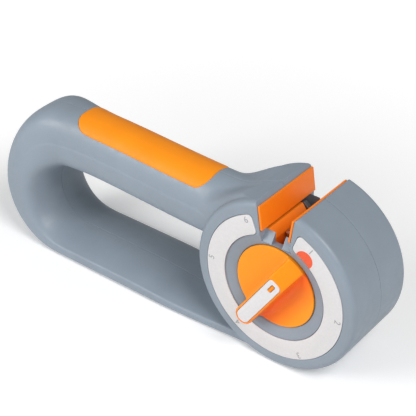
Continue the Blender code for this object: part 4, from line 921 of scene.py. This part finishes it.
def knobField(x, y, z):
    # rounded disc, a bar with a full round outer end and a ramp to the disc's edge, and the shaft behind;
    # the bar runs into the disc with a small fillet on one side and a wide one, scooped out, on the other
    k, face = knob, housing["halfWidth"]
    edgeY, topY = -face + k["setback"], -face - k["barHeight"]
    backY = edgeY + k["edgeThickness"] + k["backSpare"]
    edge = k["edge"]
    radial = np.hypot(x, z)
    thick = np.abs(y - (edgeY + backY) / 2) - (backY - edgeY) / 2 + edge
    disc = roundedField(radial - k["radius"] + edge, thick, edge)
    side = np.hypot(np.maximum(x - k["barReach"] + k["barHalf"], 0), z) - k["barHalf"]
    run, rise = k["radius"] - k["barInner"], edgeY - topY
    ramp = ((-k["barInner"] - x) * rise + (topY - y) * run) / math.hypot(run, rise)
    bar = smoothMax(side, smoothMax(topY - y, ramp, k["rampEdge"]), k["barEdge"])
    under = -face - dial["proud"] - k["underClear"]
    upper = np.maximum(bar, y - under)
    lower = np.maximum(np.maximum(bar, y - backY), radial - k["radius"] + edge)
    scooped = smoothStep(z / k["scoopStart"]) * smoothStep((k["radius"] - radial) / k["fadeRun"])
    reach = k["filletFlat"] + (k["filletScoop"] - k["filletFlat"]) * scooped
    centreY = edgeY + k["scoopDepth"] - k["scoopRadius"]
    away = np.sqrt((x / k["scoopStretch"]) ** 2 + (z - k["scoopOffset"]) ** 2 + (y - centreY) ** 2)
    disc = smoothMax(disc, k["scoopRadius"] - away, k["scoopEdge"])
    body = smoothMin(disc, np.minimum(upper, lower), reach)
    body = np.maximum(body, np.where(y > under, radial - k["radius"], -1))
    body = np.maximum(body, topY - y)
    seat = -face + notch["facePlate"]
    shaft = np.maximum(np.maximum(radial - k["shaftRadius"], y - seat), edgeY + edge - y)
    flats = [np.abs(x * math.cos(t) + z * math.sin(t)) for t in np.radians([30, 90, 150])]
    hexEnd = spanY("turret_core")[0] + k["hexLength"]
    hexagon = np.maximum(np.maximum.reduce(flats) - k["hexRadius"] * math.cos(math.pi / 6), y - hexEnd)
    return np.minimum(np.minimum(body, shaft), np.maximum(hexagon, edgeY + edge - y))


def barOutline(inset):
    # the inlay's place in the bar, seen from the front: full round outer end, inner end with rounded corners
    inset, corner = knob["inlayRim"] + inset, knob["inlayCorner"] - inset
    half = knob["barHalf"] - inset
    start = -knob["barInner"] + inset + corner
    return np.concatenate([arc(half, -90, 90, (knob["barReach"] - knob["barHalf"], 0), 33),
                           arc(corner, 90, 180, (start, half - corner), 13),
                           arc(corner, 180, 270, (start, corner - half), 13)])


def markerOutline(clearance):
    centre = -knob["barInner"] + knob["inlayRim"] + knob["markerFromEnd"]
    half = knob["markerWidth"] / 2 + clearance
    corner = half * knob["markerCorner"]
    return roundedRectangle(knob["markerLength"] / 2 + clearance, half, corner, 6) + [centre, 0]


def knobPiece():
    # the field as a mesh, less the inlay's pocket round a small island, and the screw's stepped hole
    topY = -housing["halfWidth"] - knob["barHeight"]
    margin = 2 * knob["cell"]
    hexEnd = spanY("turret_core")[0] + knob["hexLength"]
    piece = fieldPiece("selector_knob", knobField, (
        gridLines(-knob["radius"] - margin, knob["barReach"] + margin, knob["cell"]),
        gridLines(topY - margin, hexEnd + margin, knob["cell"]),
        gridLines(-knob["radius"] - margin, knob["radius"] + margin, knob["cell"])))
    lip = knob["inlayLip"]
    depths = [(-lip, topY - lip)] + [(-widen, topY + depth) for depth, widen in zip(*quarterRound(lip, 5))]
    floorY = topY + knob["inlayDepth"]
    recess = rowsPiece("inlayPocket", lippedRows(barOutline, [*depths, (0, floorY)]))
    combine(recess, [extruded("island", markerOutline(0), topY + knob["inlaySunk"],
                              topY + 2 * knob["inlayDepth"])])
    seatY = floorY + knob["headDepth"]
    hole = turned("screwHole", [(knob["headHole"], floorY - knob["headAbove"]), (knob["headHole"], seatY),
                                (knob["shankHole"], seatY), (knob["shankHole"], 0)], 40)
    combine(piece, [recess, hole])
    return placed(piece, turn=knob["turn"])


def inlayPiece():
    # plate in the bar's pocket, with a slot round the island and softened edges
    front = -housing["halfWidth"] - knob["barHeight"] + knob["inlaySunk"]
    plate = extruded("knob_plate", barOutline(knob["inlayGap"]), front, front + knob["inlayThick"])
    combine(plate, [extruded("slot", markerOutline(knob["markerGap"]), front - knob["slotAbove"],
                             front + knob["slotBelow"])])
    return placed(soften(plate, knob["inlayEdge"]), turn=knob["turn"])


# painted shade on the knob: the redder colour and its shares by distance across the bar stand in for the bar's
# shadow and bounced light
hollowShade = dict(colour=(1.0, 0.125, 0.005, 1), start=-0.0190, end=0.0165,
              shares=((-0.0044, 0.0), (-0.0030, 0.18), (0.0036, 0.28), (0.0050, 1.0), (0.0095, 0.62)))


def paintHollowShade():
    # painted shade: the knob plastic's colour is mixed toward a deeper red-orange beside the bar, standing in
    # for the bar's shadow and bounced light there; share of the redder colour by distance across the bar
    nodes = finishes["knob"][1].node_tree.nodes
    shader = nodes["Principled BSDF"]
    turn, start, end = math.radians(knob["turn"]), hollowShade["start"], hollowShade["end"]
    across = nodes.new("ShaderNodeVectorMath")
    across.operation = "DOT_PRODUCT"
    feed(across, {0: nodes.new("ShaderNodeTexCoord").outputs["Object"],
                  1: (-math.sin(turn), 0, math.cos(turn))})
    middle = axisZ * math.cos(turn) - axisX * math.sin(turn)
    place = remap(nodes, across.outputs["Value"], 0, 1, middle + start, middle + end)
    ramp = feed(nodes.new("ShaderNodeValToRGB"), {"Fac": place})
    stops = ramp.color_ramp.elements
    stops[0].color = stops[1].color = (0, 0, 0, 1)
    for distance, share in hollowShade["shares"]:
        stops.new((distance - start) / (end - start)).color = (share, share, share, 1)
    plain = shader.inputs["Base Color"].links[0].from_socket
    # the painted shade is mixed into the knob's base colour
    feed(shader, {"Base Color": colourMix(nodes, ramp.outputs["Color"], plain, hollowShade["colour"])})


paintHollowShade()
dress(knobPiece(), "knob", "turret", "knob", smoothAngle=40)
dress(inlayPiece(), "inlay", "turret", "knob_inlay")
print("knob made")


# Liners of the notch and the turret behind it

liner = dict(thickness=0.0011, footLift=0.0012, faceInset=0.0004, gap=0.0002, edge=0.0003)
turret = dict(radius=0.0254, grooveHalf=0.0063, grooveFloor=0.0205, pocketHalf=0.0034, pocketShare=0.54,
              capSlotHalf=0.0012, capSlotDrop=0.0009, bore=0.00315, edge=0.00035, indexRadius=0.0150,
              indexNotch=0.0014, indexNotchHalf=0.0023, stations=6, hexGap=0.00045, hexSpare=0.0003,
              through=0.001)


def linerPiece(name, side):
    # plate between two lines at fixed insets from the notch's cheek, drawn along Y
    low = notch["floor"] + liner["footLift"]
    high = housing["drumRadius"] - notch["chamfer"] - liner["gap"]
    back, front = liner["gap"], liner["gap"] + liner["thickness"]
    outline = np.array([(side * (cheekHalf(z) - inset), z) for z, inset in
                        ((low, back), (high, back), (high, front), (low, front))])
    depth = housing["halfWidth"] - liner["faceInset"]
    return placed(soften(extruded(name, outline, -depth, depth), liner["edge"], 4))


def stationOutline(groove, rim):
    # one groove and one arc of the rim, turned to each station
    rows = []
    for station in range(turret["stations"]):
        turn = math.radians(station * 360 / turret["stations"])
        spin = np.array([[math.cos(turn), math.sin(turn)], [-math.sin(turn), math.cos(turn)]])
        rows += [groove @ spin, rim @ spin]
    return np.concatenate(rows)


def rimArc(radius, half, steps):
    # the rim from one groove's edge to the next one's, without its ends
    swing = math.degrees(math.asin(half / radius))
    return arc(radius, 90 + swing, 90 + 360 / turret["stations"] - swing, steps=steps)[1:-1]


def groovedOutline(floorHalf, bottomRadius):
    # disc with one groove for each station, whose sides lean in to a narrow pocket
    half, radius, floor = turret["grooveHalf"], turret["radius"], turret["grooveFloor"]
    rimZ = math.sqrt(radius ** 2 - half ** 2)
    groove = np.array([(half, rimZ), (floorHalf, floor), (floorHalf, bottomRadius), (-floorHalf, bottomRadius),
                       (-floorHalf, floor), (-half, rimZ)])
    return stationOutline(groove, rimArc(radius, half, 14))


def wheelPiece(name, node, outline, edge, look, hexagonal=False):
    # an outline along Y with softened edges, bored for the axle, and with a six-sided hole for the knob
    lowY, highY = spanY(node)
    through = turret["through"]
    wheel = soften(extruded(name, outline, lowY, highY), edge)
    bore = turned("bore", [(turret["bore"], lowY - (0 if hexagonal else through)),
                           (turret["bore"], highY + through)], 48)
    span, end = knob["hexRadius"] + turret["hexGap"], lowY + knob["hexLength"] + turret["hexSpare"]
    combine(wheel, [turned("hexHole", [(span, lowY - through), (span, end)], 6), bore] if hexagonal else [bore])
    dress(placed(wheel), look, "turret", node)


def turretPieces():
    # core and end plate share the groove; the click wheel has a small V at each station
    wheelPiece("turret_drum", "turret_core", groovedOutline(
        turret["pocketHalf"], turret["pocketShare"] * turret["grooveFloor"]), turret["edge"], "turret", True)
    wheelPiece("turret_end", "turret_cap", groovedOutline(
        turret["capSlotHalf"], turret["grooveFloor"] - turret["capSlotDrop"]), turret["edge"], "darkPlastic")
    half, radius = turret["indexNotchHalf"], turret["indexRadius"]
    edgeZ = math.sqrt(radius ** 2 - half ** 2)
    click = np.array([(half, edgeZ), (0, radius - turret["indexNotch"]), (-half, edgeZ)])
    wheelPiece("click_wheel", "index_wheel", stationOutline(click, rimArc(radius, half, 16)),
               turret["edge"] / 2, "darkPlastic")


dress(linerPiece("left_liner", -1), "liner", "housing", "notch_liner_left")
dress(linerPiece("right_liner", 1), "liner", "housing", "notch_liner_right")
turretPieces()
print("liners and turret made")


# Sharpening elements: a crossing pair in each station

element = dict(plateWidth=0.0050, plateThick=0.0018, plateEdge=0.00025, rodRadius=0.00135, thinRadius=0.0010,
               proud=0.0001, pitch=0.0004, gap=0.0003, rodEdge=0.0003, photoStation=4)
kinds = (("carbide_blade", "plate", "carbide"), ("diamond_rod", "rod", "diamond"),
         ("ceramic_rod", "rod", "ceramic"), ("scissor_blade", "plate", "steel"),
         ("serration_rod", "thin", "ceramic"), ("honing_rod", "rod", "honing"))


def elementSpan():
    reach = turret["pocketHalf"] - element["gap"]
    low = turret["pocketShare"] * turret["grooveFloor"] + element["gap"]
    return reach, low, turret["grooveFloor"] + element["proud"]


def platePiece(name, side, front):
    # plate leaning across the pocket, its edges ground round
    reach, low, high = elementSpan()
    thick = element["plateThick"]
    outline = np.array([(-reach, low), (thick - reach, low), (reach, high), (reach - thick, high)]) * [side, 1]
    return soften(extruded(name, outline, front, front + element["plateWidth"]), element["plateEdge"])


def rodPiece(name, radius, side, front):
    # round rod along a leaning line: circles whose radius follows a quarter round at both ends
    reach, low, high = elementSpan()
    lean = math.atan2(2 * (reach - radius), high - low)
    along = np.array([math.sin(lean) * side, 0, math.cos(lean)])
    across = np.array([math.cos(lean) * side, 0, -math.sin(lean)])
    inner = np.array([-side * (reach - radius), front + radius, low + radius * math.sin(lean)])
    outer = np.array([side * (reach - radius), front + radius, high - radius * math.sin(lean)])
    edge, turn = element["rodEdge"], np.linspace(0, math.pi / 2, 6)
    total = np.linalg.norm(outer - inner)
    place = np.concatenate([edge * (1 - np.cos(turn)), total - edge * (1 - np.cos(turn[::-1]))])
    size = radius - edge + np.concatenate([edge * np.sin(turn), edge * np.sin(turn[::-1])])
    angle = np.arange(40) * 2 * math.pi / 40
    ring = np.cos(angle)[:, None] * across + np.sin(angle)[:, None] * np.array([0, 1, 0])
    rows = inner + place[:, None, None] * along + size[:, None, None] * ring[None]
    return rowsPiece(name, rows)


def elementPieces():
    # each pair sits side by side along Y in its station, the second one mirrored
    lowY, highY = spanY("turret_core")
    middle, half = (lowY + highY) / 2, element["pitch"] / 2
    for station, (name, shape, look) in enumerate(kinds):
        turn = (station + 1 - element["photoStation"]) * 360 / turret["stations"]
        for letter, side in (("a", 1), ("b", -1)):
            radius = element["thinRadius"] if shape == "thin" else element["rodRadius"]
            size = element["plateWidth"] if shape == "plate" else 2 * radius
            front = middle + half if side > 0 else middle - half - size
            label = name.replace("_", "") + "_" + letter
            piece = platePiece(label, side, front) if shape == "plate" else rodPiece(label, radius, side, front)
            dress(placed(piece, turn=turn), look, "turret", name + "_" + letter)


elementPieces()
print("sharpening elements made")


# Bearings, washer, axle, hub cap and screws

bearings = dict(bore=0.00312, frontBore=0.00612, edge=0.0002, capEdge=0.0004, recessRadius=0.0012,
                recessRim=1.3, recessDepth=0.0009, recessAbove=0.001, headEdge=0.0005, knobShank=0.0015,
                tipShare=0.3)


def ringPiece(name, node, inner, edge):
    # ring or disc with a quarter round at both outer edges, turned about Y to its frame node's size
    low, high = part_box(node)
    outer, front, rear = (high[0] - low[0]) / 2, low[1], high[1]
    profile = arc(edge, -90, 0, (outer - edge, front + edge), 6).tolist()
    profile += arc(edge, 0, 90, (outer - edge, rear - edge), 6).tolist()
    if inner:
        profile = [(inner, front), *profile, (inner, rear), (inner, front)]
    return placed(turned(name, profile, 128))


def screwPiece(name, node, shank, side):
    # rounded head with a six-sided recess, shank with a pointed end; side is -1 where the head looks to -Y
    low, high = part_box(node)
    radius = (high[0] - low[0]) / 2
    headY, length = (low if side < 0 else high)[1], high[1] - low[1]
    thick, edge, hexRadius = screws["headThickness"], bearings["headEdge"], bearings["recessRadius"]
    profile = [(hexRadius * bearings["recessRim"], 0), *arc(edge, 90, 0, (radius - edge, -edge), 6).tolist()]
    profile += [(radius, -thick), (shank, -thick), (shank, shank - length),
                (shank * bearings["tipShare"], -length)]
    piece = turned(name, [(r, headY + side * d) for r, d in profile], 64)
    depth = sorted((headY + side * bearings["recessAbove"], headY - side * bearings["recessDepth"]))
    combine(piece, [turned("recess", [(hexRadius, depth[0]), (hexRadius, depth[1])], 6)])
    return placed(piece, (low[0] + high[0]) / 2, (low[2] + high[2]) / 2)


for name, node, inner, edge, look, body in (
        ("front_bearing", "front_bush", bearings["frontBore"], bearings["edge"], "bearing", "housing"),
        ("rear_bearing", "rear_bush", bearings["bore"], bearings["edge"], "bearing", "housing"),
        ("hub_cap", "rear_hub_cap", 0, bearings["capEdge"], "housing", "housing"),
        ("washer", "thrust_washer", bearings["bore"], bearings["edge"] / 2, "steel", "turret"),
        ("turned_axle", "axle", 0, bearings["edge"], "steel", "turret")):
    dress(ringPiece(name, node, inner, edge), look, body, node)
for number in range(1, 7):
    node = "shell_screw_" + str(number)
    dress(screwPiece("housing_screw_" + str(number), node, screws["shankRadius"], 1), "steel", "housing", node)
dress(screwPiece("hidden_screw", "knob_screw", bearings["knobShank"], -1), "steel", "turret", "knob_screw")
for slot in frame["nodes"]["detent_spring"].material_slots:  # shown as it is in the frame
    slot.material = finishes["steel"][1]
print("bearings, screws and spring made")


# Stage

camera = dict(azimuth=38.43, elevation=34.25, roll=-0.44, distance=0.54088, lens=106.39,
              targetBefore=0.04942, targetHeight=0.04912)
lights = dict(key=((-0.60, -0.95, 0.58), 0.6, 8.3), side=((0.80, -0.30, 1.00), 0.5, 9.0))  # place, size, watts
stage = dict(aim=(0, 0, 0.04), floorReach=3, floorTone=0.96, floorRoughness=0.9, glow=(0.16, 0.42),
             glowRun=(0.12, 0.34), skyLight=0.28)
white = (1, 1, 1, 1)


def addCamera():
    # stands back from its target along azimuth and elevation, turned by the roll
    a, e, r = (math.radians(camera[key]) for key in ("azimuth", "elevation", "roll"))
    turn = Matrix.Rotation(a, 4, "Z") @ Matrix.Rotation(math.pi / 2 - e, 4, "X") @ Matrix.Rotation(r, 4, "Z")
    target = Matrix.Translation((axisX - camera["targetBefore"], 0, camera["targetHeight"]))
    data = bpy.data.cameras.new("camera")
    data.lens = camera["lens"]
    data.sensor_width = 36
    data.clip_start = 0.01
    item = linked(bpy.data.objects.new("camera", data))
    item.matrix_world = target @ turn @ Matrix.Translation((0, 0, camera["distance"]))
    bpy.context.scene.camera = item


def addLights():
    for name, (place, size, power) in lights.items():
        data = bpy.data.lights.new(name, "AREA")
        data.shape = "SQUARE"
        data.size = size
        data.energy = power
        item = linked(bpy.data.objects.new(name, data))
        item.location = place
        item.rotation_euler = (Vector(stage["aim"]) - Vector(place)).to_track_quat("-Z", "Y").to_euler()


def addFloor():
    # pale floor; only the camera sees its glow, which grows with the distance from the middle until it's white
    r, tone = stage["floorReach"], stage["floorTone"]
    floor = meshPiece("floor", np.array([[-r, -r, 0], [r, -r, 0], [r, r, 0], [-r, r, 0]], float),
                      [np.array([[0, 1, 2, 3]])])
    material, nodes, place = newMaterial("paleFloor")
    away = nodes.new("ShaderNodeVectorMath")
    away.operation = "LENGTH"
    feed(away, {0: place})
    seen = nodes.new("ShaderNodeMath")
    seen.operation = "MULTIPLY"
    feed(seen, {0: nodes.new("ShaderNodeLightPath").outputs["Is Camera Ray"],
                1: remap(nodes, away.outputs["Value"], *stage["glow"], *stage["glowRun"])})
    feed(nodes["Principled BSDF"], {"Base Color": (tone, tone, tone, 1), "Roughness": stage["floorRoughness"],
                                    "Emission Color": white, "Emission Strength": seen.outputs["Value"]})
    floor.data.materials.append(material)


def addSky():
    # white to the camera, and a weaker white light to everything else
    world = bpy.data.worlds.new("studio")
    bpy.context.scene.world = world
    world.use_nodes = True
    nodes = world.node_tree.nodes
    seen = nodes.new("ShaderNodeLightPath").outputs["Is Camera Ray"]
    feed(nodes["Background"], {"Strength": remap(nodes, seen, stage["skyLight"], 1.0, 0, 1), "Color": white})


addCamera()
addFloor()
addSky()
addLights()
bpy.context.scene.view_settings.view_transform = "Standard"
print("stage set")
